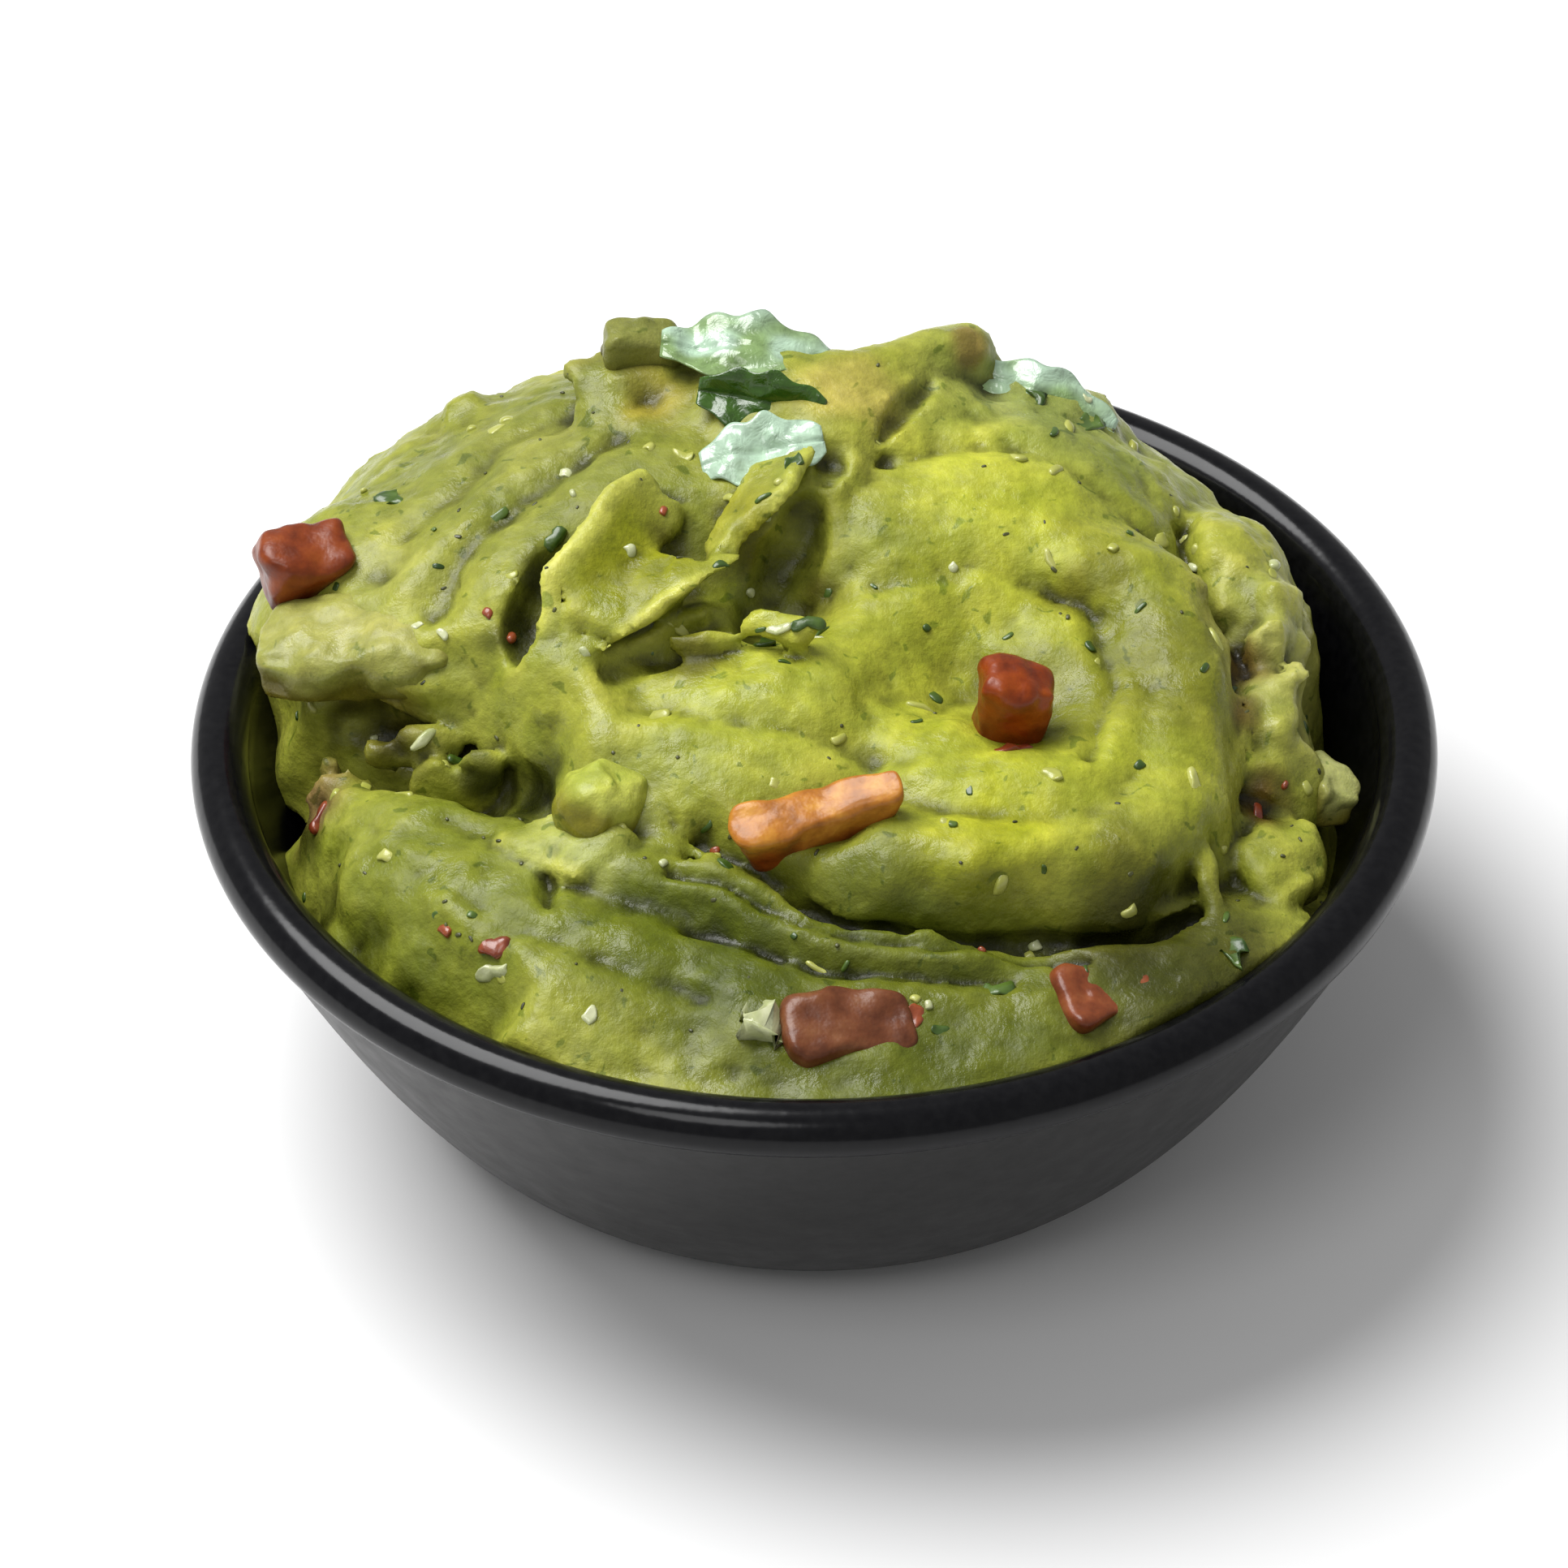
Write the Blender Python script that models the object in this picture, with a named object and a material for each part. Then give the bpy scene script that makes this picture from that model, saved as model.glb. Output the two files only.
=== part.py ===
"""Guacamole heaped in a round black bowl, with its tomato, avocado, onion and cilantro.

Millimetres are used throughout and turned into metres where a mesh is made. The origin is the
centre of the foot. The heap is described from the middle of the rim's top, +X right, +Y back.
"""

import math

import bmesh
import bpy
import numpy as np
from mathutils import Euler, Matrix, Vector

MM = 0.001
GAP = 0.3  # kept between touching pieces

# Bowl
RIM_R = 60.0
BOWL_H = 40.0
FOOT_R = 34.0
FOOT_W = 5.0
FOOT_RECESS = 1.0
LIP_W = 5.6
LIP_H = 3.8
LIP_STEP = 0.9  # how far the lip stands out from the wall
WALL = 4.6
FLOOR_Z = 5.0
FLOOR_EASE = 5.0  # how much smaller the floor inside is than the wall alone would leave it
WALL_CURVE = 0.62  # power of the outer wall's curve
INNER_CURVE = 0.53
WALL_CROWD = 1.4  # crowds the wall's steps towards the foot, where it curves most
BOWL_SEGMENTS = 56
WALL_STEPS = 7
LIP_STEPS = 7

# Heap
TOP_RINGS = 24  # ring i has 6 * i points
UNDER_RINGS = 4
BRIM_LEVEL = -1.6  # the dip's level at the wall in front
FILL_RISE = 8.0  # how much the plain fill rises from the wall to the middle
LOW_RIGHT = 14.0  # how much lower the dip meets the wall on the right
LOW_LEFT = 11.0
RIGHT_TURN, RIGHT_HALF = 18, 66  # where the dip is lower, in degrees round the bowl
LEFT_TURN, LEFT_HALF = 182, 28
WINDOW_EDGE = 1.4  # how steep the ends of the lower stretches are
WALL_BLEND = 0.1  # the dip's outermost share of its radius, which eases down onto the wall
LUMP_FALL = 30.0  # how steeply a lump falls away past its edge
STROKE_FALL = 2.0
SOFT = 2.2  # how softly neighbouring lumps run together

# Lumps: centre x, y; half sizes; turn in degrees; level they rise from; top; roundness.
LUMPS = {
    "back slope": (-12, 12.5, 44.5, 41, 0, -6, 20, 0.55),
    "back right": (12.5, 18.5, 30.5, 27, -13, -6, 19, 0.52),
    "left shoulder": (-42.5, 14, 12.5, 15, 0, -4, 13, 0.5),
    "crown": (0, 24, 21, 13, 4, 10, 23.5, 0.6),
    "front left mass": (-26, -27, 31, 23, -22, -4, 5.5, 0.5),
    "front brim": (4, -34, 44, 19, 0, -3, 3.2, 0.6),
    "centre mass": (-5, -12, 21, 17, 20, 0, 12.5, 0.5),
    "dollop": (18, -9, 20.5, 24, -4, -2, 14.5, 0.45),
    "right mass upper": (39.5, 13.5, 9.0, 15, 16, -9, 11.5, 0.5),
    "right mass lower": (41, -9, 8.5, 13, -6, -9, 3.5, 0.5),
}

# Broad hollows: half width, depth and a path of x, y along the floor.
HOLLOWS = {
    "flap basin": (6.0, 6.0, [(-17, -1), (-9, 2.5), (-2, 1)]),
    "below the flap": (3.6, 3.0, [(-15, -11), (-8, -8), (-2, -4), (0, 3)]),
    "dollop hollow": (8.2, 6.6, [(15, -9), (19, -12)]),
}

# Strokes left by the spoon: radius and a path of x, y, z along the top of the stroke.
STROKES = {
    "swirl": (6.5, [(4, 8, 16.5), (19, 11, 17), (31, 4, 15.2), (35, -9, 11.5), (31, -22, 8.5)]),
    "swirl front": (6.0, [(33, -20, 8.5), (26, -28, 8.5), (15, -30.5, 9.5), (8, -28, 9.5)]),
    "dollop front": (5.0, [(-9, -27, 7.4), (0, -29.4, 7.6), (9, -29.5, 8.6)]),
    "front fold": (4.0, [(-24, -27, 7), (-12, -31, 6.5), (2, -35.5, 5), (16, -39, 3.5)]),
    "brim fold": (4.5, [(-40, -32, 0.8), (-22, -44, 0.6), (0, -49, 0.4), (22, -46, 0.2)]),
    "top ridge": (4.0, [(1, 13, 21), (4, 26, 23.5), (15, 31, 22)]),
    "flap edge": (2.4, [(-25, -4, 17.6), (-21, 1.5, 20.2), (-16.6, 9.4, 21.4)]),
    "flap fold": (2.2, [(-19, -10, 14.8), (-10, -4, 19), (-4.4, 2.8, 20.8), (0.2, 12, 22.4)]),
}

# Grooves: half width, depth and a path of x, y along the floor.
GROOVES = {
    "dollop foot": (1.6, 3.5, [(-10, -26), (0, -33), (16, -37), (31, -33)]),
    "dollop side": (1.5, 4.0, [(36, 16), (40, 0), (39.5, -16)]),
    "slope crack": (1.8, 6.0, [(-29, -7), (-25.5, 2)]),
    "crown groove": (1.5, 3.0, [(6, 14), (10, 22)]),
    "recess": (3.8, 6.5, [(-47, -5.5), (-37, -9.5), (-28, -15.5)]),
    "gap at the left wall": (3.2, 9.0, [(-54, 2), (-53.5, -6), (-52, -13)]),
}

# Step at the slope's front edge: its height, then the line along its top in x and y.
SHELF_DROP = 7.0
SHELF_START = (-50.0, -1.0)
SHELF_SLANT = -0.18
SHELF_RUN = 3.0  # how far the step takes to fall
SHELF_END = -28.0  # the step runs from the left wall to here
SHELF_FADE = 6.0

# Tomato: centre x, y, z of each piece, its three sizes and its turn in degrees.
TOMATOES = {
    "tomato_centre": ((18.6, -14.4, 11.0), (7.0, 5.2, 10.0), (6, 4, -4)),
    "tomato_front": ((0.0, -27.2, 8.0), (14.6, 4.6, 6.4), (14, -12, 12)),
    "tomato_left": ((-49.0, 8.8, 10.6), (8.0, 6.2, 8.2), (14, 8, 20)),
    "tomato_brim": ((2.8, -46.8, -0.2), (11.0, 6.5, 5.5), (20, 6, 8)),
    "tomato_brim_right": ((25.8, -42.6, -0.8), (8.5, 6.0, 5.0), (14, 14, 24)),
}
DICE_TAPER = 0.86  # how much smaller one end of a piece is
DICE_EDGE = 0.9  # how far its edges are eased

# Chunks that are still whole: centre, half sizes, turn in degrees.
CHUNKS = {
    "avocado_nub": ((-19.8, -23.6, 7.4), (4.4, 3.8, 4.0), (0, 25, 30)),
    "avocado_shelf": ((-43.0, 0.0, 7.8), (9.6, 5.0, 2.9), (8, -9, -10)),
    "avocado_crown": ((-16.8, 29.0, 21.8), (4.0, 2.4, 2.6), (6, 8, 10)),
    "onion_right": ((48.4, -9.6, -2.2), (2.8, 3.6, 2.2), (0, 25, 20)),
}
CHUNK_POWER = 0.8  # 1 leaves a chunk round, and less squares it

# Leaves: stalk end, length, width, turn in degrees, cupping across and bend along.
LEAVES = {
    "cilantro_crown": ((-14.8, 27.0, 24.4), 16.5, 8.0, (14, 3, -3), 0.20, 0.16),
    "cilantro_fold": ((-11.0, 20.0, 23.4), 12.5, 6.0, (58, 6, -8), 0.15, 0.15),
    "cilantro_front": ((-10.6, 12.4, 21.0), 12.0, 7.0, (26, -6, 8), 0.20, 0.22),
    "cilantro_right": ((15.6, 31.4, 18.2), 14.6, 6.4, (24, 18, -16), 0.25, 0.22),
}
LEAF_T = 0.7
LEAF_STEPS = 8
LEAF_ENDS = 0.22  # width at the stalk and the tip, as a share of the full width
LEAF_BLUNT = (0.08, 0.84, 0.8)  # where the outline's arch starts, its span and its power
LEAF_WAVES = 3
LEAF_WAVE = 0.10
LEAF_ACROSS = (-1.0, -0.5, 0.0, 0.5, 1.0)


# ---------------------------------------------------------------- materials and meshes


def material(name, colour, roughness, specular=0.5):
    made = bpy.data.materials.new(name)
    made.use_nodes = True
    shader = made.node_tree.nodes["Principled BSDF"]
    shader.inputs["Base Color"].default_value = (*colour, 1.0)
    shader.inputs["Roughness"].default_value = roughness
    shader.inputs["Metallic"].default_value = 0.0
    shader.inputs["Specular IOR Level"].default_value = specular
    made.diffuse_color = (*colour, 1.0)
    return made


def add_object(name, bm, surface=None):
    """A mesh object from millimetres, facing out."""
    bmesh.ops.recalc_face_normals(bm, faces=bm.faces)
    bmesh.ops.scale(bm, vec=(MM, MM, MM), verts=bm.verts)
    mesh = bpy.data.meshes.new(name)
    bm.to_mesh(mesh)
    bm.free()
    made = bpy.data.objects.new(name, mesh)
    bpy.context.collection.objects.link(made)
    if surface is not None:
        mesh.materials.append(surface)
    return made


def placed(centre, turn):
    """Where a piece of the heap goes, given from the middle of the rim's top."""
    raised = Vector(centre) + Vector((0, 0, BOWL_H))
    return Matrix.Translation(raised) @ Euler([math.radians(t) for t in turn]).to_matrix().to_4x4()


def cut(target, cutter):
    """Takes a helper away from the target, and keeps the helper out of the model."""
    cutter.hide_render = True
    cutter.display_type = "WIRE"
    modifier = target.modifiers.new(cutter.name, "BOOLEAN")
    modifier.operation = "DIFFERENCE"
    modifier.object = cutter


# ---------------------------------------------------------------- bowl


def outer_radius(z):
    """Radius of the outside of the wall at a height over the foot."""
    share = np.clip(z / (BOWL_H - LIP_H), 0.0, 1.0)
    return FOOT_R + (RIM_R - LIP_STEP - FOOT_R) * share**WALL_CURVE


def inner_wall():
    """Radii and heights up the inside of the wall, from the floor to the lip's inner edge."""
    share = np.linspace(0.0, 1.0, WALL_STEPS + 1) ** WALL_CROWD
    floor_r = float(outer_radius(FLOOR_Z)) - WALL - FLOOR_EASE
    radii = floor_r + (RIM_R - LIP_W - floor_r) * share**INNER_CURVE
    return radii, FLOOR_Z + (BOWL_H - LIP_W / 2 - FLOOR_Z) * share


def inner_radius(z):
    """Radius of the inside of the wall at a height over the foot."""
    radii, heights = inner_wall()
    return float(np.interp(z, heights, radii))


def bowl_profile():
    """Outline of the wall as (radius, height), from the middle of the base to the inside's middle."""
    foot_in = FOOT_R - FOOT_W
    line = [(0.0, FOOT_RECESS), (foot_in, FOOT_RECESS), (foot_in + FOOT_RECESS, 0.0), (FOOT_R, 0.0)]
    shoulder = BOWL_H - LIP_H
    for step in range(1, WALL_STEPS + 1):
        z = shoulder * (step / WALL_STEPS) ** WALL_CROWD
        line.append((float(outer_radius(z)), z))
    lip_r = LIP_W / 2
    for step in range(LIP_STEPS + 1):
        angle = math.pi * (step / LIP_STEPS)
        lift = lip_r * math.sin(angle)
        line.append((RIM_R - lip_r + lip_r * math.cos(angle), BOWL_H - lip_r + lift))
    radii, heights = inner_wall()
    line += [(float(r), float(z)) for r, z in zip(radii[-2::-1], heights[-2::-1])]
    line.append((0.0, FLOOR_Z))
    return line


def make_bowl(surface):
    bm = bmesh.new()
    points = [bm.verts.new((r, 0, z)) for r, z in bowl_profile()]
    edges = [bm.edges.new(pair) for pair in zip(points, points[1:])]
    bmesh.ops.spin(
        bm, geom=points + edges, cent=(0, 0, 0), axis=(0, 0, 1), angle=2 * math.pi,
        steps=BOWL_SEGMENTS, use_merge=True, use_duplicate=False,
    )
    bmesh.ops.remove_doubles(bm, verts=bm.verts, dist=0.001)
    return add_object("bowl", bm, surface)


# ---------------------------------------------------------------- form of the heap


def smooth_max(a, b, soft):
    share = np.clip(0.5 + 0.5 * (a - b) / soft, 0.0, 1.0)
    return b + (a - b) * share + soft * share * (1.0 - share)


def smooth_step(value):
    value = np.clip(value, 0.0, 1.0)
    return value * value * (3.0 - 2.0 * value)


def window(turn, centre, half):
    """1 at an angle round the bowl, falling to 0 at half degrees either side."""
    away = np.abs((np.degrees(turn) - centre + 180.0) % 360.0 - 180.0)
    return smooth_step(WINDOW_EDGE * (1.0 - away / half))


def wall_level(turn):
    """Level at which the dip meets the wall, by the angle round the bowl."""
    low_right = LOW_RIGHT * window(turn, RIGHT_TURN, RIGHT_HALF)
    return BRIM_LEVEL - low_right - LOW_LEFT * window(turn, LEFT_TURN, LEFT_HALF)


def path_distance(x, y, path):
    """Distance to a path, and the share of the path's length at the nearest point."""
    best = np.full(np.shape(x), np.inf)
    along = np.zeros(np.shape(x))
    for index, (start, end) in enumerate(zip(path, path[1:])):
        dx, dy = end[0] - start[0], end[1] - start[1]
        t = np.clip(((x - start[0]) * dx + (y - start[1]) * dy) / (dx * dx + dy * dy), 0, 1)
        away = np.hypot(x - start[0] - t * dx, y - start[1] - t * dy)
        nearer = away < best
        best = np.where(nearer, away, best)
        along = np.where(nearer, index + t, along)
    return best, along


def lump(x, y, values):
    cx, cy, half_x, half_y, turn, low, top, round_power = values
    c, s = math.cos(math.radians(turn)), math.sin(math.radians(turn))
    u = ((x - cx) * c + (y - cy) * s) / half_x
    v = ((y - cy) * c - (x - cx) * s) / half_y
    inside = 1.0 - u * u - v * v
    rise = np.clip(inside, 0.0, 1.0) ** round_power
    return low + (top - low) * rise - LUMP_FALL * np.clip(-inside, 0.0, None)


def stroke(x, y, radius, path):
    away, along = path_distance(x, y, path)
    level = np.interp(along, range(len(path)), [point[2] for point in path])
    share = np.clip(away / radius, 0.0, 1.0)
    rounded = level - radius * (1.0 - np.sqrt(1.0 - share**2))
    return rounded - STROKE_FALL * np.clip(away - radius, 0.0, None)


def hollowing(x, y, hollows):
    """How much a set of hollows takes off the heap's height."""
    depth_here = 0.0
    for half, depth, path in hollows.values():
        away, _ = path_distance(x, y, path)
        depth_here = depth_here + depth * np.exp(-((away / half) ** 2))
    return depth_here


def heap_height(x, y):
    """Height of the dip over the rim's top."""
    r = np.hypot(x, y)
    turn = np.arctan2(y, x)
    height = wall_level(turn) + FILL_RISE * (1.0 - (r / (RIM_R - LIP_W)) ** 2)
    edge_y = SHELF_START[1] + SHELF_SLANT * (x - SHELF_START[0])
    step = SHELF_DROP * smooth_step((edge_y - y) / SHELF_RUN)
    step = step * smooth_step((SHELF_END - x) / SHELF_FADE)
    for name, values in LUMPS.items():
        raised = lump(x, y, values)
        if name == "back slope":
            raised = raised - step
        height = smooth_max(height, raised, SOFT)
    height = height - hollowing(x, y, HOLLOWS)
    for radius, path in STROKES.values():
        height = smooth_max(height, stroke(x, y, radius, path), SOFT / 2)
    return height - hollowing(x, y, GROOVES)


def edge_of_heap(turn):
    """Radius and height of the heap's edge on the wall."""
    level = wall_level(turn)
    return inner_radius(BOWL_H + level) - GAP, level


# ---------------------------------------------------------------- dip


def zip_rings(bm, outer, inner):
    """Triangles between two closed rings, which may have different numbers of points."""
    i = j = 0
    while i < len(outer) or j < len(inner):
        a, b = outer[i % len(outer)], inner[j % len(inner)]
        if j == len(inner) or (i < len(outer) and (i + 1) * len(inner) <= (j + 1) * len(outer)):
            i += 1
            bm.faces.new((a, outer[i % len(outer)], b))
        else:
            j += 1
            bm.faces.new((a, inner[j % len(inner)], b))


def ring(bm, count, place):
    """A ring of points, each at place(angle) = radius, height over the rim's top."""
    made = []
    for step in range(count):
        angle = 2 * math.pi * step / count
        r, z = place(angle)
        made.append(bm.verts.new((r * math.cos(angle), r * math.sin(angle), BOWL_H + z)))
    return made


def top_place(share):
    def place(angle):
        edge_r, edge_z = edge_of_heap(angle)
        if share == 1.0:
            return edge_r, edge_z
        r = edge_r * share
        level = float(heap_height(r * math.cos(angle), r * math.sin(angle)))
        wall_side = smooth_step(1.0 - (1.0 - share) / WALL_BLEND)
        return r, level * (1.0 - wall_side) + max(level, edge_z) * wall_side
    return place


def under_place(share):
    def place(angle):
        _, edge_z = edge_of_heap(angle)
        z = edge_z + (FLOOR_Z + GAP - BOWL_H - edge_z) * share
        return inner_radius(BOWL_H + z) - GAP, z
    return place


def make_dip(surface):
    bm = bmesh.new()
    rings = [ring(bm, 6 * i, top_place(i / TOP_RINGS)) for i in range(1, TOP_RINGS + 1)]
    middle = bm.verts.new((0, 0, BOWL_H + float(heap_height(0.0, 0.0))))
    for a, b in zip(rings[0], rings[0][1:] + rings[0][:1]):
        bm.faces.new((a, b, middle))
    for inner, outer in zip(rings, rings[1:]):
        zip_rings(bm, outer, inner)
    last = rings[-1]
    for step in range(1, UNDER_RINGS + 1):
        lower = ring(bm, len(last) // 3 * 2, under_place(step / UNDER_RINGS))
        zip_rings(bm, last, lower)
        last = lower
    bm.faces.new(last[::-1])
    bmesh.ops.triangulate(bm, faces=[face for face in bm.faces if len(face.verts) > 3])
    return add_object("guacamole", bm, surface)


# ---------------------------------------------------------------- toppings


def dice(sizes, grow):
    """A cut piece of tomato: a box with eased edges and one side a little smaller."""
    bm = bmesh.new()
    bmesh.ops.create_cube(bm, size=1.0)
    for vert in bm.verts:
        taper = DICE_TAPER if vert.co.x > 0 else 1.0
        vert.co = Vector((vert.co.x * (sizes[0] + 2 * grow),
                          vert.co.y * (sizes[1] * taper + 2 * grow),
                          vert.co.z * (sizes[2] * taper + 2 * grow)))
    bmesh.ops.bevel(
        bm, geom=bm.edges[:], offset=DICE_EDGE, segments=2, profile=0.5, affect="EDGES"
    )
    return bm


def chunk(half_sizes, grow):
    """A soft rounded chunk: a sphere pressed towards a box."""
    bm = bmesh.new()
    bmesh.ops.create_icosphere(bm, subdivisions=2, radius=1.0)
    for vert in bm.verts:
        squared = Vector(math.copysign(abs(c) ** CHUNK_POWER, c) for c in vert.co)
        vert.co = Vector(squared[i] * (half_sizes[i] + grow) for i in range(3))
    return bm


def leaf(length, width, cup, bend, grow):
    """A cupped leaf of even thickness, its stalk end at the origin, lying along +X."""
    bm = bmesh.new()
    half_t = LEAF_T / 2 + grow
    start, span, power = LEAF_BLUNT
    sides = {}
    for side in (-1, 1):
        for i in range(LEAF_STEPS + 1):
            along = i / LEAF_STEPS
            arch = math.sin(math.pi * (start + span * along)) ** power
            half_w = width / 2 * (LEAF_ENDS + (1.0 - LEAF_ENDS) * arch)
            half_w = half_w * (1.0 + LEAF_WAVE * math.cos(LEAF_WAVES * math.pi * along)) + grow
            for k, share in enumerate(LEAF_ACROSS):
                x = -grow + (length + 2 * grow) * along
                z = cup * half_w * share**2 - bend * length * (along - 0.5) ** 2 + side * half_t
                sides[side, i, k] = bm.verts.new((x, half_w * share, z))
    last = len(LEAF_ACROSS) - 1
    for side in (-1, 1):
        for i in range(LEAF_STEPS):
            for k in range(last):
                bm.faces.new((sides[side, i, k], sides[side, i + 1, k],
                              sides[side, i + 1, k + 1], sides[side, i, k + 1]))
    border = [(i, 0) for i in range(LEAF_STEPS)] + [(LEAF_STEPS, k) for k in range(last)]
    border += [(i, last) for i in range(LEAF_STEPS, 0, -1)] + [(0, k) for k in range(last, 0, -1)]
    for (i, k), (i2, k2) in zip(border, border[1:] + border[:1]):
        bm.faces.new((sides[-1, i, k], sides[-1, i2, k2], sides[1, i2, k2], sides[1, i, k]))
    return bm


def make_topping(name, shape, where, surface, dip):
    """Adds a piece by shape(grow), and cuts its bed, one gap larger, out of the dip."""
    solid = shape(0.0)
    solid.transform(where)
    add_object(name, solid, surface)
    bed = shape(GAP)
    bed.transform(where)
    cut(dip, add_object(name + "_bed", bed))


def make_toppings(dip):
    flesh = material("tomato", (0.42, 0.055, 0.02), 0.3)
    for name, (centre, sizes, turn) in TOMATOES.items():
        make_topping(name, lambda grow: dice(sizes, grow), placed(centre, turn), flesh, dip)
    surfaces = {
        "avocado": material("avocado", (0.42, 0.45, 0.09), 0.4),
        "onion": material("onion", (0.62, 0.60, 0.36), 0.35),
    }
    for name, (centre, halves, turn) in CHUNKS.items():
        surface = surfaces[name.split("_")[0]]
        make_topping(name, lambda grow: chunk(halves, grow), placed(centre, turn), surface, dip)
    green = material("cilantro", (0.06, 0.14, 0.02), 0.3)
    for name, (base, length, width, turn, cup, bend) in LEAVES.items():
        make_topping(name, lambda grow: leaf(length, width, cup, bend, grow),
                     placed(base, turn), green, dip)


# ---------------------------------------------------------------- model


def clear_scene():
    for old in list(bpy.data.objects):
        bpy.data.objects.remove(old, do_unlink=True)


def main():
    clear_scene()
    make_bowl(material("black_gloss", (0.012, 0.012, 0.014), 0.22))
    dip = make_dip(material("guacamole", (0.33, 0.36, 0.075), 0.45))
    make_toppings(dip)


main()
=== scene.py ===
import math

import bmesh
import bpy
import numpy as np
from mathutils import Euler, Matrix, Vector


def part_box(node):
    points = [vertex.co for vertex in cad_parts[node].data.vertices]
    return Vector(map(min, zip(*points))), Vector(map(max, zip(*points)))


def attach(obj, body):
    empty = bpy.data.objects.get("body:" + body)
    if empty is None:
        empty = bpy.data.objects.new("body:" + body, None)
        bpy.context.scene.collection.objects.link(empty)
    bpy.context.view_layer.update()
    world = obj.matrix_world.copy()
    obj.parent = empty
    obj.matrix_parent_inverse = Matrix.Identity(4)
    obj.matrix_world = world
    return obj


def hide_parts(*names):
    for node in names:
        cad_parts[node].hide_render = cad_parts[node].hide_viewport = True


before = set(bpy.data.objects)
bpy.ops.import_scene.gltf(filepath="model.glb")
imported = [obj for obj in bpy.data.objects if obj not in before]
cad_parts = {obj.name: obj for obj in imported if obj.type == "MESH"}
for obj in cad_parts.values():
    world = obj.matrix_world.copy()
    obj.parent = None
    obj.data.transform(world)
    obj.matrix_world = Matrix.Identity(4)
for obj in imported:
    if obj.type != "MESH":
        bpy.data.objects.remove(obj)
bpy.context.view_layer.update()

# All forms are worked out in millimetres from the middle of the rim's top: +X right, +Y back.
MM = 0.001
BOWL_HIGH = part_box("bowl")[1]
RIM_R = BOWL_HIGH[0] / MM
BOWL_H = BOWL_HIGH[2] / MM

# Bowl
LIP_W = 5.6
LIP_H = 3.8
LIP_STEP = 0.9
FOOT_R = 34.0
FOOT_W = 5.0
FOOT_RECESS = 1.0
FLOOR_Z = 5.0
WALL = 4.6
FLOOR_EASE = 5.0
WALL_CURVE = 0.62
INNER_CURVE = 0.53
BOWL_SEGMENTS = 192
WALL_RINGS, LIP_RINGS = 36, 24
RING_CROWDING = 1.3  # draws the wall's rings towards the foot
LIP_FROM, LIP_TURN = -0.12, 1.12  # where the lip's round starts and its length, in half turns

# Heap
STEP = 0.63  # spacing of the grid that the heap's surface is found on
TABLE_STEP = 0.25
TABLE_HALF = 62.0
TABLE_REACH = 3.0  # how far round a point its highest and lowest heights are looked for
TABLE_SPARE = 4.5  # what is added to them
BRIM_LEVEL = -1.6
FILL_RISE = 8.0
LOW_RIGHT = 14.0  # how much lower the dip meets the wall on the right
LOW_LEFT = 11.0
RIGHT_TURN, RIGHT_HALF = 18, 66  # where the dip is lower, in degrees round the bowl
LEFT_TURN, LEFT_HALF = 182, 28
WINDOW_EDGE = 1.4  # how steep the ends of the lower stretches are
LUMP_FALL = 30.0  # how steeply a lump falls away past its edge
STROKE_FALL = 2.0
STEEPEST = 4.0
SOFT = 2.0  # how softly neighbouring lumps run together
FLAP_SOFT, NODULE_SOFT, SCRAP_SOFT = 0.7, 2.2, 0.9
LUMP_ROUGH, LUMP_GRAIN = 0.35, 2.6  # of nodules and scraps
NEAR_LUMP, NEAR_PATH = 3.0, 4.0  # how far past a lump, and a flap or cut, it is worked out
FLAP_STRUTS = 60  # struts laid side by side to make one flap
STRUT_SOFT = 0.2
INTO_WALL = 0.8  # how far the dip runs into the bowl's wall, so that no gap shows
TOP_LEVEL = 30.0
OVER_RIM_IN = 3.0  # how far inside the lip's edge the dip stays above the rim
WALL_LEAN = 0.8  # the share of a move outward that is a move through the sloping wall
BASE_LEFT, BASE_SLOPE = -10.0, 0.14  # level of the visual's underside, and its fall to the right

# Step at the slope's front edge: its height, then the line along its top in x and y.
SHELF_DROP = 7.0
SHELF_START = (-50.0, -1.0)
SHELF_SLANT = -0.18
SHELF_RUN = 3.0
SHELF_END = -28.0
SHELF_FADE = 6.0

# Lumps: centre x, y; half sizes; turn in degrees; level they rise from; top; roundness.
LUMPS = {
    "back slope": (-12, 12.5, 44.5, 41, 0, -6, 20, 0.55),
    "back right": (12.5, 18.5, 30.5, 27, -13, -6, 19, 0.52),
    "left shoulder": (-42.5, 14, 12.5, 15, 0, -4, 13, 0.5),
    "crown": (0, 24, 21, 13, 4, 10, 23.5, 0.6),
    "front left mass": (-26, -27, 31, 23, -22, -4, 5.5, 0.5),
    "front brim": (4, -34, 44, 19, 0, -3, 3.2, 0.6),
    "centre mass": (-5, -12, 21, 17, 20, 0, 12.5, 0.5),
    "dollop": (18, -9, 20.5, 24, -4, -2, 14.5, 0.45),
    "right mass upper": (39.5, 13.5, 9, 15, 16, -9, 11.5, 0.5),
    "right mass lower": (41, -9, 8.5, 13, -6, -9, 3.5, 0.5),
}

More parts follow.
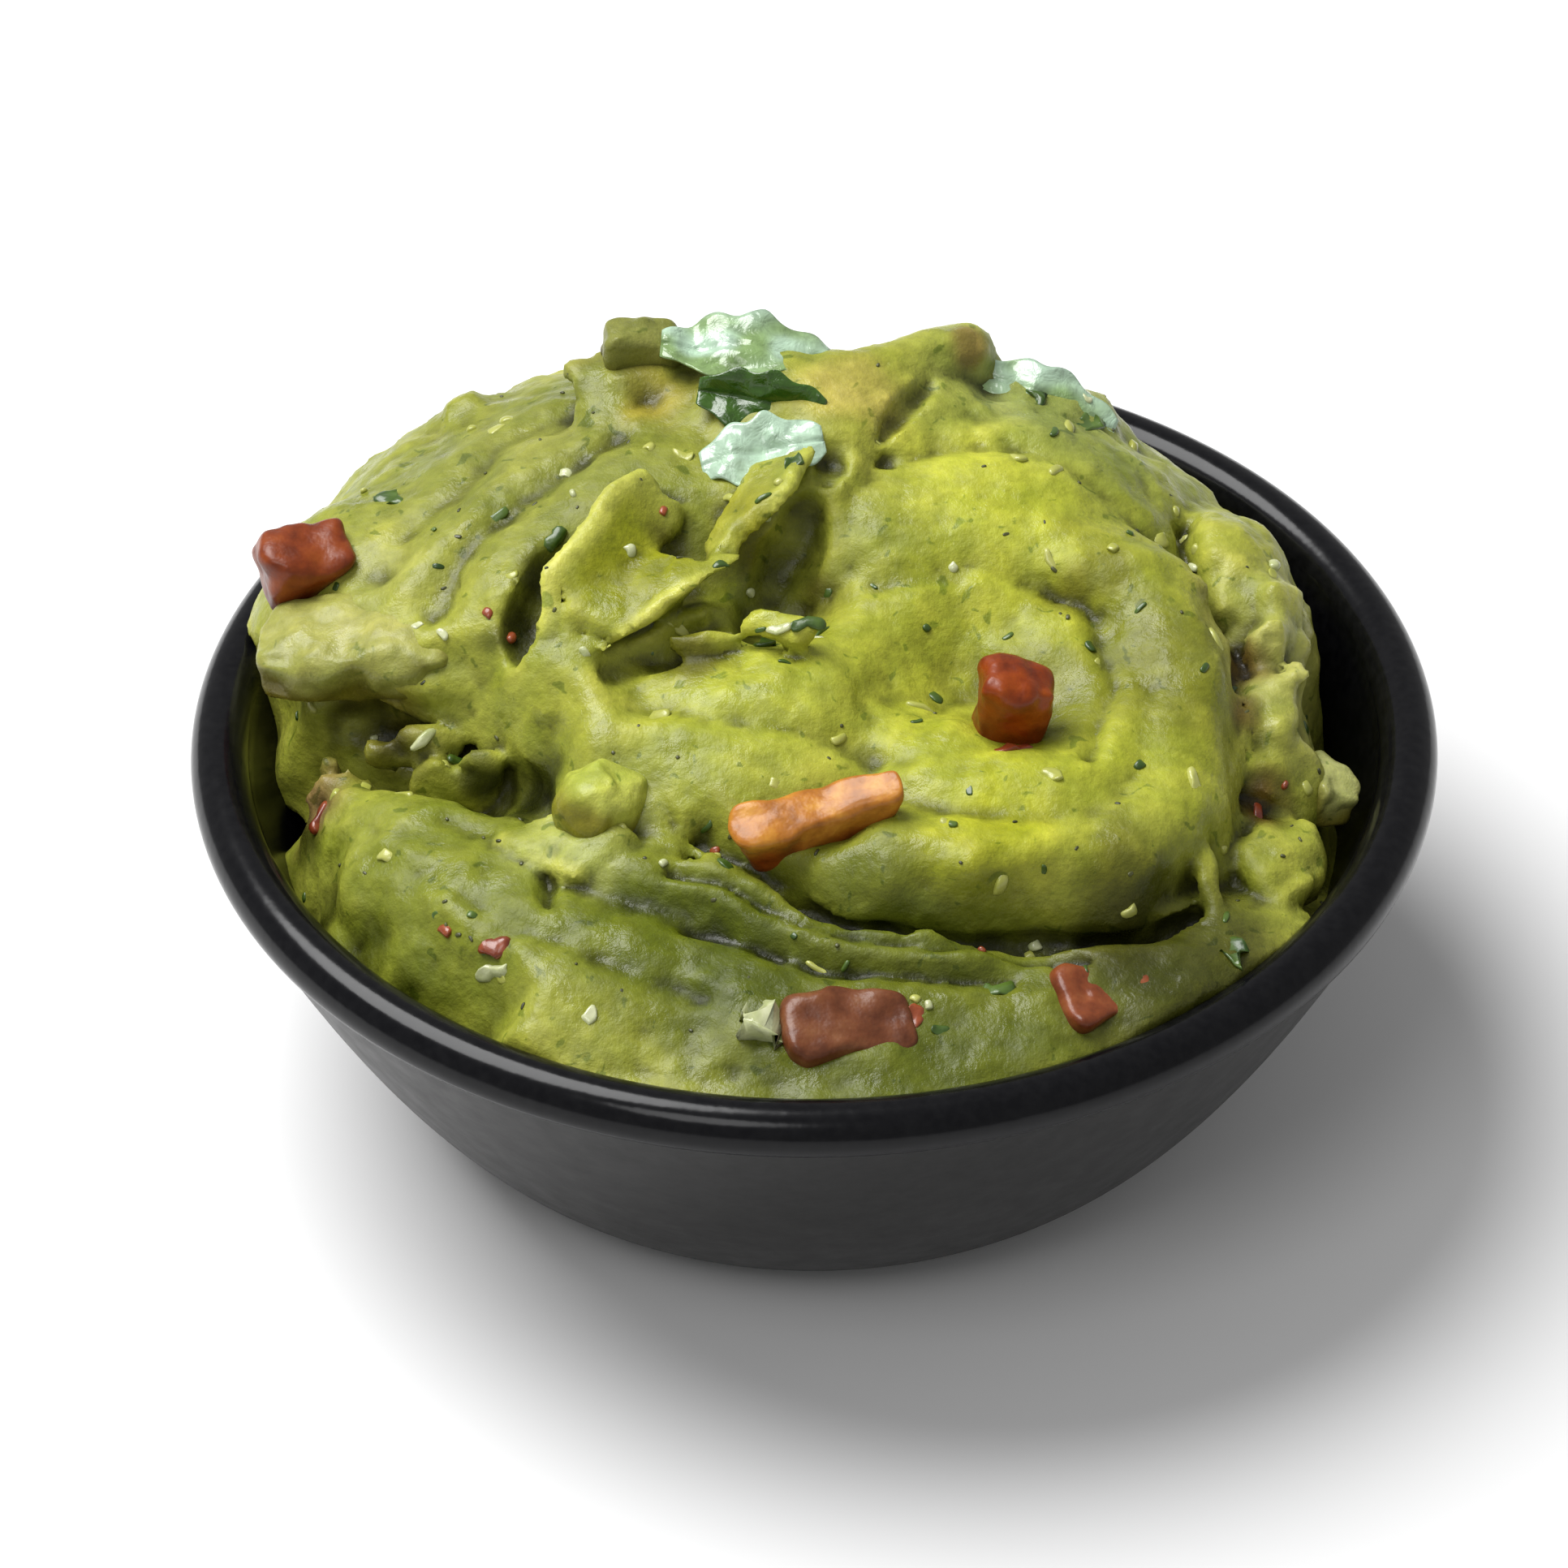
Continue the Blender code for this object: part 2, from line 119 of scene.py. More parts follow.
# Strokes left by the spoon: radius and a path of x, y, z along the top of the stroke.
STROKES = {
    "swirl": (6.5, [(4, 8, 16.5), (19, 11, 17), (31, 4, 15.2), (35, -9, 11.5), (31, -22, 8.5)]),
    "swirl front": (6, [(33, -20, 8.5), (26, -28, 8.5), (15, -30.5, 9.5), (8, -28, 9.5)]),
    "dollop front": (5, [(-9, -27, 7.4), (0, -29.4, 7.6), (9, -29.5, 8.6)]),
    "front fold": (4, [(-24, -27, 7), (-12, -31, 6.5), (2, -35.5, 5), (16, -39, 3.5)]),
    "brim fold": (4.5, [(-40, -32, 0.8), (-22, -44, 0.6), (0, -49, 0.4), (22, -46, 0.2)]),
    "top ridge": (4, [(1, 13, 21), (4, 26, 23.5), (14, 31, 22)]),
}

# Broad hollows under the strokes: half width, depth and a path of x, y along the floor.
HOLLOWS = {
    "flap basin": (6, 6, [(-17, -1), (-9, 2.5), (-2, 1)]),
    "below the flap": (3.6, 3, [(-15, -11), (-8, -8), (-2, -4), (0, 3)]),
    "dollop hollow": (8.2, 6.6, [(15, -9), (19, -12)]),
}

# Grooves over everything: half width, depth and a path of x, y along the floor.
GROOVES = {
    "dollop foot": (1.6, 3.5, [(-10, -26), (0, -33), (16, -37), (31, -33)]),
    "dollop side": (1.2, 2.4, [(36, 16), (40, 0), (39.5, -16)]),
    "recess": (3.8, 6.5, [(-47, -5.5), (-37, -9.5), (-28, -15.5)]),
    "gap at the left wall": (4.2, 11, [(-54, 4), (-53.6, -6), (-52, -13), (-49.5, -20.5)]),
    "gap at the left front wall": (3.6, 8, [(-49.5, -22), (-45.5, -29.5), (-40, -37), (-32, -44)]),
    "front furrow": (1.6, 0.7, [(-34, -22), (-20, -33), (-2, -40), (14, -43)]),
    "front furrow low": (1.2, 0.5, [(-43, -24), (-28, -37), (-10, -44.5)]),
    "fold line": (0.9, 1.5, [(-13, -31), (-2, -35.6), (12, -39.4), (24, -39)]),
    "fold line low": (0.9, 1, [(-12, -36.5), (4, -41), (18, -43)]),
    "front mark": (0.8, 1.2, [(-24.5, -27), (-25, -34)]),
    "slope furrow": (2.2, 1.3, [(-40, 6), (-30, 20), (-14, 30)]),
    "slope furrow low": (1.6, 1.4, [(-36, -1), (-29, 10), (-19, 19)]),
    "swirl line": (1.1, 0.8, [(6, 1), (15, 5), (25, 1), (28, -9), (25, -20)]),
    "swirl line outside": (1, 0.6, [(2, 15), (20, 18), (36, 8), (38, -6)]),
    "centre line": (1.5, 0.9, [(-16, -14), (-4, -17), (8, -20)]),
}

# Cuts into the heap: radius, sharpness of its edge, and a path of x, y, z along its middle.
CUTS = {
    "crevice by the flap": (2.8, 0.4, [
        (-22.4, 3.6, 18.4), (-24.2, 0.6, 16.4), (-26.6, -3, 14.2), (-28, -6.5, 12.6)]),
    "flap hollow": (2.3, 0.7, [(-12.8, 1, 15), (-12, 4.4, 16.8)]),
    "crack over the flap": (1.3, 0.3, [(-14.5, 9.4, 19.6), (-12.4, 9, 19.4), (-10.3, 8.2, 19.2)]),
    "shade under the flap": (2.3, 0.4, [
        (-18.2, -10.6, 13), (-13.2, -7.9, 13.6), (-8.8, -4.8, 14.2), (-5, -0.8, 14.6)]),
    "hole right of the flap": (3.5, 0.5, [
        (-4.4, -3.4, 12.8), (-2.8, 0.8, 12.8), (-1.6, 5, 15), (-0.6, 8, 17.4)]),
    "gap between the bits": (1.2, 0.3, [
        (-5.6, -9.4, 14.6), (-2.4, -10.6, 14.4), (0.4, -10.6, 14.2)]),
    "crown groove": (1.3, 0.3, [(6.2, 16.6, 20.2), (9.5, 21.5, 21.4), (11.5, 24.8, 21.2)]),
    "crown pit": (1.4, 0.3, [(6.4, 14.9, 19), (7.2, 15.8, 19)]),
    "ridge pit": (1.8, 0.4, [(1.8, 11.2, 20.2), (2.6, 14.6, 21.6)]),
    "back right groove": (1.1, 0.4, [(27.5, 24.8, 13.4), (31.5, 21, 12.6)]),
    "gap under the shelf": (3, 0.7, [(-48, -4.4, 0.6), (-41, -5.4, 1.6), (-33.5, -8.2, 2.4)]),
    "crevice by the nub": (2.7, 0.5, [(-32, -12, 2.2), (-27.8, -17.2, 4.4), (-25.6, -20.8, 5)]),
    "crack by the nub": (1.2, 0.3, [(-14, -24.5, 8.6), (-12, -27, 7), (-10.2, -29.5, 5.6)]),
    "dollop foot": (1.1, 0.4, [
        (-11.5, -26.4, 4.8), (-8.8, -31.6, 4), (0, -32.6, 2), (14.8, -36.6, 0.8),
        (29.9, -33.2, -1)]),
    "dark under the dollop": (2, 0.5, [(25, -34.6, -0.6), (31, -33.6, -1.2), (36, -30.5, -1.4)]),
    "right crevice": (1.2, 0.3, [(39.8, 4, 8), (40, -3, 6.6), (39.8, -12, 4)]),
    "right crack": (1, 0.3, [(39.8, -15.4, 1.8), (42.6, -16.2, 1), (46, -15.6, 0)]),
}

# Thin raised pieces: half thickness, and two edges that it spans, each a path of x, y, z.
FLAPS = {
    "flap left": (0.75, [
        (-25.2, -6.4, 14.8), (-25, -3.4, 18), (-22.6, -0.8, 19.6), (-20.8, 1.8, 20.6),
        (-18.9, 5.8, 21.2), (-16.4, 9.6, 21.4)], [
        (-20.8, -9.2, 14), (-18.2, -5.6, 15.2), (-15.6, -3, 15.5), (-13.8, -0.8, 15.4),
        (-13.2, 3.4, 16), (-13.4, 7.8, 18.6)]),
    "flap right": (0.75, [
        (-19, -10, 14.6), (-13.3, -6.2, 18), (-10.1, -3.9, 19.2), (-7.2, -1.5, 20.2),
        (-4.4, 2.6, 21), (-2.2, 7, 21.8), (0.2, 12, 22.6)], [
        (-19, -8.4, 14), (-15.4, -4.8, 15.2), (-12.8, -2.4, 15.2), (-10.9, 0.8, 15.2),
        (-9.8, 4.2, 16.6), (-7.6, 8, 18.6), (-5, 12, 20.6)]),
    "flap middle": (1.1, [
        (-22.6, -5.8, 16.2), (-18.8, -1.6, 17.2), (-16.2, 1.4, 17.2)], [
        (-17.8, -8, 15.4), (-13.4, -4.6, 17.4), (-10.6, -1.8, 18.2)]),
    "shelf lip": (1, [
        (-51, 1.4, 5.4), (-45, -2.6, 7.2), (-40, -4.4, 7.6), (-33.5, -5.2, 8.4)], [
        (-47, 6, 8), (-43, 3, 9.4), (-38, 1, 10), (-32, -1, 11)]),
    "right slice": (0.9, [
        (43.5, -15.5, -1), (47.5, -20.5, -2.4)], [
        (40.5, -22, 0.6), (43.5, -27, -1.6)]),
    "right sliver": (0.6, [
        (35.8, -25, 3.4), (37.8, -31.5, -0.6)], [
        (36.6, -25.4, 2.8), (38.4, -31.4, -0.9)]),
    "nub skirt": (0.9, [(-29, -25, 4.8), (-22, -31, 5.4)], [(-25, -22.5, 5.6), (-17, -27, 6.6)]),
    "scrap by the hole": (0.85, [
        (-5.2, -7.4, 15.6), (-1.4, -9.2, 15.2)], [
        (-4.4, -6.6, 16.2), (-0.4, -8.6, 16)]),
}

# Rounded lumps that stand out of the heap: centre and half sizes.
NODULES = {
    "right chunk": ((43.2, -4, 2.6), (3.6, 8, 5)),
    "right chunk high": ((43.4, 7, 4.2), (4, 6.6, 5.2)),
    "right chunk low": ((46, -10, -1.6), (3.2, 4.4, 3.2)),
    "back right knob": ((24, 30, 12.6), (5.4, 3.6, 3.2)),
    "right low": ((43.8, -21, -1.8), (4, 5, 3.2)),
    "slope knob": ((-33, 33, 10.8), (3.4, 2.4, 2.2)),
    "olive edge": ((-17, 27.4, 19.4), (6.4, 3.8, 2.6)),
}

# Scraps that lie in the cuts, so they are added after them: centre and half sizes.
SCRAPS = {
    "recess lump": ((-43.5, -11, -1.2), (4.6, 2.2, 2.4)),
    "recess lump right": ((-34.6, -11.6, 0.2), (3.6, 1.8, 2.8)),
    "recess scrap": ((-39.8, -8.6, 1), (2.2, 1.2, 1.8)),
    "recess scrap left": ((-46, -8.2, 0), (2, 1.2, 2)),
    "recess scrap high": ((-36.6, -8, 3.4), (2, 0.9, 1.3)),
    "recess scrap right": ((-31, -12, 2.8), (1.6, 1.4, 2.2)),
    "strand by the nub": ((-13.5, -27, 5.6), (2.2, 0.8, 0.9)),
    "strand under the flap": ((-9.5, -7.6, 14), (2.4, 0.8, 1)),
}

# Roughness of the dip: 0 is smooth, where a spoon pressed it, and 1 is broken up. Then where it
# differs: centre, reach and roughness.
ROUGH_ELSEWHERE = 0.7
ROUGH_SPOTS = [
    ((44, 4, 2), 20, 1.5),
    ((26, 30, 12), 22, 1.1),
    ((-42, -9, 0), 13, 1.3),
    ((-28, -14, 4), 9, 1.1),
    ((-2, -2, 14), 8, 1.1),
    ((-20, 24, 18), 24, 0.6),
    ((-16, 2, 17), 11, 0.3),
    ((28, -10, 10), 17, 0.45),
    ((12, 0, 14), 13, 0.45),
    ((-18, -38, 3), 20, 0.6),
    ((-37, -27, 2), 15, 1.05),
    ((-8, -45, 0), 12, 0.9),
    ((36, -40, -1), 14, 0.8),
]

# Wander of the heap's form: size of its swings and how far they reach, wide and small.
BEND_WIDE, BEND_SMALL = (13.0, 1.5), (5.0, 0.55)
BEND_UP = 6.0
BEND_OF_DETAIL = [0.7, 0.7, 0.6]  # the share of it that flaps, cuts and lumps take

# Noise on the dip's surface: how wide, how far it stands out and where it is read from.
SURFACE_NOISE = {
    "swell": (6.5, 0.55, 29.0),
    "grain": (3.4, 0.55, 31.0),
    "small grain": (1.7, 0.34, 37.0),
    "pulp": (2.1, 1.0, 41.0),
    "fine": (0.9, 0.15, 43.0),
}
PULP_FROM = 0.35

RNG = np.random.default_rng(20)


# ---- small helpers


def smooth_max(a, b, soft):
    share = np.clip(0.5 + 0.5 * (a - b) / soft, 0.0, 1.0)
    return b + (a - b) * share + soft * share * (1.0 - share)


def smooth_min(a, b, soft):
    return -smooth_max(-a, -b, soft)


def smooth_step(value):
    value = np.clip(value, 0.0, 1.0)
    return value * value * (3.0 - 2.0 * value)


def window(turn, centre, half):
    """1 at an angle round the bowl, falling to 0 at half degrees either side."""
    away = np.abs((np.degrees(turn) - centre + 180.0) % 360.0 - 180.0)
    return smooth_step(WINDOW_EDGE * (1.0 - away / half))


def path_distance(points, path):
    """Distance of points to a path, and how far along it the nearest place lies."""
    path = np.asarray(path, float)
    best = np.full(points.shape[:-1], np.inf)
    along = np.zeros(points.shape[:-1])
    for index, (start, end) in enumerate(zip(path, path[1:])):
        leg = end - start
        t = np.clip((points - start) @ leg / (leg @ leg), 0, 1)
        away = np.linalg.norm(points - start - t[..., None] * leg, axis=-1)
        nearer = away < best
        best = np.where(nearer, away, best)
        along = np.where(nearer, index + t, along)
    return best, along


LATTICE = RNG.uniform(-1.0, 1.0, (48, 48, 48)).astype(np.float32)


def noise(points, scale, offset=0.0):
    """Smooth noise from -1 to 1, its lumps about scale millimetres across."""
    at = points / scale + offset
    cell = np.floor(at).astype(np.int64)
    part = at - cell
    part = part * part * (3.0 - 2.0 * part)
    size = LATTICE.shape[0]
    total = np.zeros(points.shape[:-1])
    for corner in np.ndindex(2, 2, 2):
        where = (cell + corner) % size
        weight = np.prod(np.where(np.array(corner, bool), part, 1.0 - part), axis=-1)
        total += weight * LATTICE[where[..., 0], where[..., 1], where[..., 2]]
    return total


def noises(points, scale, offsets):
    """One noise for each axis."""
    return np.stack([noise(points, scale, offset) for offset in offsets], -1)


# ---- bowl's form


def outer_radius(z):
    share = np.clip(z / (BOWL_H - LIP_H), 0.0, 1.0)
    return FOOT_R + (RIM_R - LIP_STEP - FOOT_R) * share**WALL_CURVE


def inner_radius(z):
    share = np.clip((z - FLOOR_Z) / (BOWL_H - LIP_W / 2 - FLOOR_Z), 0.0, 1.0)
    floor_r = outer_radius(FLOOR_Z) - WALL - FLOOR_EASE
    return floor_r + (RIM_R - LIP_W - floor_r) * share**INNER_CURVE


# ---- heap's form


def wall_level(turn):
    """Level at which the dip meets the wall, by the angle round the bowl."""
    low = LOW_RIGHT * window(turn, RIGHT_TURN, RIGHT_HALF)
    return BRIM_LEVEL - (low + LOW_LEFT * window(turn, LEFT_TURN, LEFT_HALF))


def lump(x, y, values):
    cx, cy, half_x, half_y, turn, low, top, round_power = values
    c, s = math.cos(math.radians(turn)), math.sin(math.radians(turn))
    u = ((x - cx) * c + (y - cy) * s) / half_x
    v = ((y - cy) * c - (x - cx) * s) / half_y
    inside = 1.0 - u * u - v * v
    rise = np.clip(inside, 0.0, 1.0) ** round_power
    return low + (top - low) * rise - LUMP_FALL * np.clip(-inside, 0.0, None)


def stroke(x, y, radius, path):
    flat = [point[:2] for point in path]
    away, along = path_distance(np.stack([x, y], -1), flat)
    level = np.interp(along, range(len(path)), [point[2] for point in path])
    share = np.clip(away / radius, 0.0, 1.0)
    beyond = STROKE_FALL * np.clip(away - radius, 0.0, None)
    return level - radius * (1.0 - np.sqrt(1.0 - share**2)) - beyond


def hollowing(x, y, hollows):
    """How much a set of hollows takes off the heap's height."""
    depth_here = 0.0
    for half, depth, path in hollows.values():
        away, _ = path_distance(np.stack([x, y], -1), path)
        depth_here = depth_here + depth * np.exp(-((away / half) ** 2))
    return depth_here


def heap_height(x, y):
    """Height of the dip over the rim's top, before its overhangs and cracks."""
    turn = np.arctan2(y, x)
    height = wall_level(turn) + FILL_RISE * (1.0 - (np.hypot(x, y) / (RIM_R - LIP_W)) ** 2)
    edge_y = SHELF_START[1] + SHELF_SLANT * (x - SHELF_START[0])
    in_front = smooth_step((edge_y - y) / SHELF_RUN)
    shelf_step = SHELF_DROP * in_front * smooth_step((SHELF_END - x) / SHELF_FADE)
    for name, values in LUMPS.items():
        raised = lump(x, y, values)
        if name == "back slope":
            raised = raised - shelf_step
        height = smooth_max(height, raised, SOFT)
    height = height - hollowing(x, y, HOLLOWS)
    for radius, path in STROKES.values():
        height = smooth_max(height, stroke(x, y, radius, path), SOFT / 2)
    return height - hollowing(x, y, GROOVES)


class HeightTable:
    """heap_height on a fine grid, read back between its points, with its steepness."""

    def __init__(self):
        count = int(2 * TABLE_HALF / TABLE_STEP) + 1
        line = np.linspace(-TABLE_HALF, TABLE_HALF, count)
        x, y = np.meshgrid(line, line, indexing="ij")
        self.height = heap_height(x, y)
        slope_x, slope_y = np.gradient(self.height, TABLE_STEP)
        steep = np.clip(np.hypot(slope_x, slope_y), 0.0, STEEPEST)
        self.flatness = 1.0 / np.sqrt(1.0 + steep**2)

    def read(self, table, x, y):
        most = table.shape[0] - 1.001
        u = np.clip((x + TABLE_HALF) / TABLE_STEP, 0.0, most)
        v = np.clip((y + TABLE_HALF) / TABLE_STEP, 0.0, most)
        i, j = u.astype(int), v.astype(int)
        s, t = u - i, v - j
        near = table[i, j] * (1 - t) + table[i, j + 1] * t
        far = table[i + 1, j] * (1 - t) + table[i + 1, j + 1] * t
        return near * (1 - s) + far * s

    def spread(self, reach, pick):
        """The lowest or highest height within reach of each point."""
        cells = int(reach / TABLE_STEP)
        found = self.height.copy()
        for axis in (0, 1):
            row = found.copy()
            for shift in range(-cells, cells + 1, 2):
                row = pick(row, np.roll(found, shift, axis))
            found = row
        return found


def nearby(points, path, reach):
    """Indices of the points in the box round a path."""
    path = np.asarray(path, float)
    low, high = path.min(axis=0) - reach, path.max(axis=0) + reach
    return np.flatnonzero(((points > low) & (points < high)).all(axis=1))


def flap_distance(points, half, edge_a, edge_b):
    """Distance to a thin sheet that spans two paths, made from struts laid side by side."""
    distance = np.full(len(points), np.inf)
    for share in np.linspace(0.0, 1.0, FLAP_STRUTS):
        ends = []
        for edge in (edge_a, edge_b):
            edge = np.asarray(edge, float)
            where = share * (len(edge) - 1)
            ends.append([np.interp(where, range(len(edge)), edge[:, axis]) for axis in range(3)])
        away, _ = path_distance(points, ends)
        distance = smooth_min(distance, away - half, STRUT_SOFT) if share else away - half
    return distance


def roughness_at(points):
    """How rough the dip is there."""
    rough = np.full(len(points), ROUGH_ELSEWHERE)
    for centre, reach, value in ROUGH_SPOTS:
        away = np.linalg.norm(points - centre, axis=1) / reach
        rough += (value - rough) * smooth_step(1.6 * (1.0 - away))
    return rough


def add_lumps(field, points, bent, lumps, soft):
    """Joins a set of uneven rounded lumps to the field, in place."""
    for centre, halves in lumps.values():
        near = nearby(points, [centre], max(halves) + NEAR_LUMP)
        away = (bent[near] - centre) / halves
        lump_field = (np.linalg.norm(away, axis=1) - 1.0) * min(halves)
        lump_field += LUMP_ROUGH * min(halves) * noise(points[near], LUMP_GRAIN, 47.0)
        field[near] = smooth_min(field[near], lump_field, soft)


def bend_at(points):
    """How far the heap's form is pushed aside, so that its strokes and edges wander."""
    (wide, wide_by), (small, small_by) = BEND_WIDE, BEND_SMALL
    bend = wide_by * noises(points, wide, (3.1, 7.7))
    bend = bend + small_by * noises(points, small, (11.3, 17.9))
    return np.column_stack([bend, noise(points, BEND_UP, 23.1)])


def heap_field(points, table):
    """Signed distance, roughly, to the dip's surface: negative inside it."""
    bend = bend_at(points)
    x, y = (points + bend)[:, :2].T
    field = (points[:, 2] - table.read(table.height, x, y)) * table.read(table.flatness, x, y)
    bent = points + bend * BEND_OF_DETAIL
    for half, edge_a, edge_b in FLAPS.values():
        near = nearby(points, edge_a + edge_b, half + NEAR_PATH)
        sheet = flap_distance(bent[near], half, edge_a, edge_b)
        field[near] = smooth_min(field[near], sheet, FLAP_SOFT)
    add_lumps(field, points, bent, NODULES, NODULE_SOFT)
    for radius, soft, path in CUTS.values():
        near = nearby(points, path, radius + NEAR_PATH)
        away, along = path_distance(bent[near], path)
        taper = 0.55 + 0.45 * np.sin(math.pi * (0.1 + 0.8 * along / (len(path) - 1)))
        field[near] = smooth_max(field[near], radius * taper - away, soft)
    add_lumps(field, points, bent, SCRAPS, SCRAP_SOFT)
    rough = roughness_at(points)
    part = {name: height * noise(points, width, seed)
            for name, (width, height, seed) in SURFACE_NOISE.items()}
    pulp = np.clip(part["pulp"] - PULP_FROM, 0.0, None)
    lumpy = rough * (0.75 * (part["grain"] + part["small grain"]) + 0.6 * pulp)
    swell, fine = part["swell"] * (0.5 + 0.5 * rough), (0.35 + 0.65 * rough) * part["fine"]
    return field - swell - lumpy - fine


def in_bowl(points):
    """Distance out of the space that the dip may fill, which reaches just into the wall."""
    r = np.hypot(points[:, 0], points[:, 1])
    side = r - (inner_radius(points[:, 2] + BOWL_H) + INTO_WALL)
    side = np.where(points[:, 2] > 0.0, r - (RIM_R - OVER_RIM_IN), side)
    base = BASE_LEFT - BASE_SLOPE * (points[:, 0] + RIM_R) - points[:, 2]
    return np.maximum(side * WALL_LEAN, base)


def surface_net(field, low, step):
    """Vertices and quads of the surface where a grid of values changes sign."""
    inside = field < 0.0
    shape = np.array(field.shape) - 1
    corners = [tuple(slice(c, c + n) for c, n in zip(corner, shape))
               for corner in np.ndindex(2, 2, 2)]
    count = sum(inside[corner].astype(np.int8) for corner in corners)
    cells = np.argwhere((count > 0) & (count < 8))
    total = np.zeros((len(cells), 3))
    hits = np.zeros(len(cells))
    for axis in range(3):
        along = np.eye(3, dtype=int)[axis]
        for side in np.ndindex(2, 2):
            start = np.insert(np.array(side), axis, 0)
            a = field[tuple((cells + start).T)]
            b = field[tuple((cells + start + along).T)]
            crosses = (a < 0) != (b < 0)
            t = np.where(crosses, a / np.where(crosses, a - b, 1.0), 0.0)
            total += crosses[:, None] * (start + t[:, None] * along)
            hits += crosses
    vertices = low + step * (cells + total / hits[:, None])
    index = np.full(shape, -1, np.int64)
    index[tuple(cells.T)] = np.arange(len(cells))
    quads = []
    for axis in range(3):
        first = [slice(1, -1)] * 3
        first[axis] = slice(0, -1)
        second = list(first)
        second[axis] = slice(1, None)
        a, b = inside[tuple(first)], inside[tuple(second)]
        edges = np.argwhere(a != b) + (np.arange(3) != axis)
        outward = a[a != b]
        u, v = np.eye(3, dtype=int)[[(axis + 1) % 3, (axis + 2) % 3]]
        ring = np.stack([index[tuple((edges - shift).T)] for shift in (u * 0, u, u + v, v)], 1)
        ring[~outward] = ring[~outward][:, ::-1]
        quads.append(ring)
    return vertices, np.concatenate(quads)


def heap_surface(table):
    low = np.array([-RIM_R, -RIM_R, BASE_LEFT - BASE_SLOPE * 2 * RIM_R - 1.0])
    high = np.array([RIM_R, RIM_R, TOP_LEVEL])
    counts = np.ceil((high - low) / STEP).astype(int) + 1
    axes = [low[k] + STEP * np.arange(counts[k]) for k in range(3)]
    x, y = np.meshgrid(axes[0], axes[1], indexing="ij")
    lowest = table.read(table.spread(TABLE_REACH, np.minimum), x, y) - TABLE_SPARE
    highest = table.read(table.spread(TABLE_REACH, np.maximum), x, y) + TABLE_SPARE
    z = axes[2][None, None, :]
    field = np.where(z < lowest[..., None], -2.0, 2.0) * np.ones(counts)
    live = (z >= lowest[..., None]) & (z <= highest[..., None])
    grid = np.stack(np.meshgrid(*axes, indexing="ij"), -1)
    field[live] = heap_field(grid[live], table)
    field = np.maximum(field, in_bowl(grid.reshape(-1, 3)).reshape(counts))
    return surface_net(field, low, STEP)


# ---- meshes


def add_object(name, data):
    made = bpy.data.objects.new(name, data)
    bpy.context.collection.objects.link(made)
    return made


def add_mesh(name, vertices, faces, surface):
    """An object from points in millimetres over the rim's top."""
    points = (np.asarray(vertices, float) + [0, 0, BOWL_H]) * MM
    mesh = bpy.data.meshes.new(name)
    if isinstance(faces, np.ndarray):
        faces = faces.tolist()
    mesh.from_pydata(points.tolist(), [], faces)
    mesh.materials.append(surface)
    mesh.polygons.foreach_set("use_smooth", [True] * len(mesh.polygons))
    mesh.update()
    return add_object(name, mesh)


def rounded_block(power, steps):
    """Points of a box of half size 1 with rounded edges, and its quads, facing out."""
    index, points, quads = {}, [], []
    for axis in range(3):
        for side in (0, steps):
            for i, j in np.ndindex(steps, steps):
                quad = []
                for a, b in ((i, j), (i + 1, j), (i + 1, j + 1), (i, j + 1)):
                    key = np.insert([a, b], axis, side)
                    place = tuple(key)
                    if place not in index:
                        index[place] = len(points)
                        points.append(2.0 * key / steps - 1.0)
                    quad.append(index[place])
                turned = (side == 0) != (axis == 1)
                quads.append(quad[::-1] if turned else quad)
    points = np.array(points)
    length = (np.abs(points) ** power).sum(axis=1) ** (1.0 / power)
    return points / length[:, None], np.array(quads)


def turned(points, turn):
    matrix = np.array(Euler([math.radians(t) for t in turn]).to_matrix())
    return points @ matrix.T


def blend(share, a, b):
    share = np.asarray(share)[..., None]
    return np.asarray(a) * (1.0 - share) + np.asarray(b) * share


def summed(index, rows, count):
    """The sum of the rows that share an index."""
    return np.stack([np.bincount(index, column, count) for column in rows.T], -1)


def vertex_normals(points, quads):
    corner = points[quads]
    across = np.cross(corner[:, 2] - corner[:, 0], corner[:, 3] - corner[:, 1])
    total = summed(quads.ravel(), np.repeat(across, 4, axis=0), len(points))
    return total / np.maximum(np.linalg.norm(total, axis=1), 1e-9)[:, None]


def smoothed(points, quads, rounds):
    """The points, each moved towards the middle of its neighbours a number of times."""
    ends = np.concatenate([quads[:, [k, (k + 1) % 4]] for k in range(4)])
    count = np.maximum(np.bincount(ends[:, 0], minlength=len(points)), 1)
    for _ in range(rounds):
        total = summed(ends[:, 0], points[ends[:, 1]], len(points))
        points = 0.5 * points + 0.5 * total / count[:, None]
    return points


def add_colours(obj, name, values):
    """One colour for each vertex, which the object's material reads by name."""
    layer = obj.data.attributes.new(name, "FLOAT_COLOR", "POINT")
    full = np.ones((len(values), 4), np.float32)
    full[:, :3] = values
    layer.data.foreach_set("color", full.ravel())


def belongs(obj, slot, *nodes):
    """Puts a piece on the root body and hides the CAD nodes that it stands for. The slot is not
    used.
    """
    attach(obj, "root")
    if nodes:
        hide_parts(*nodes)
    return obj


# ---- materials


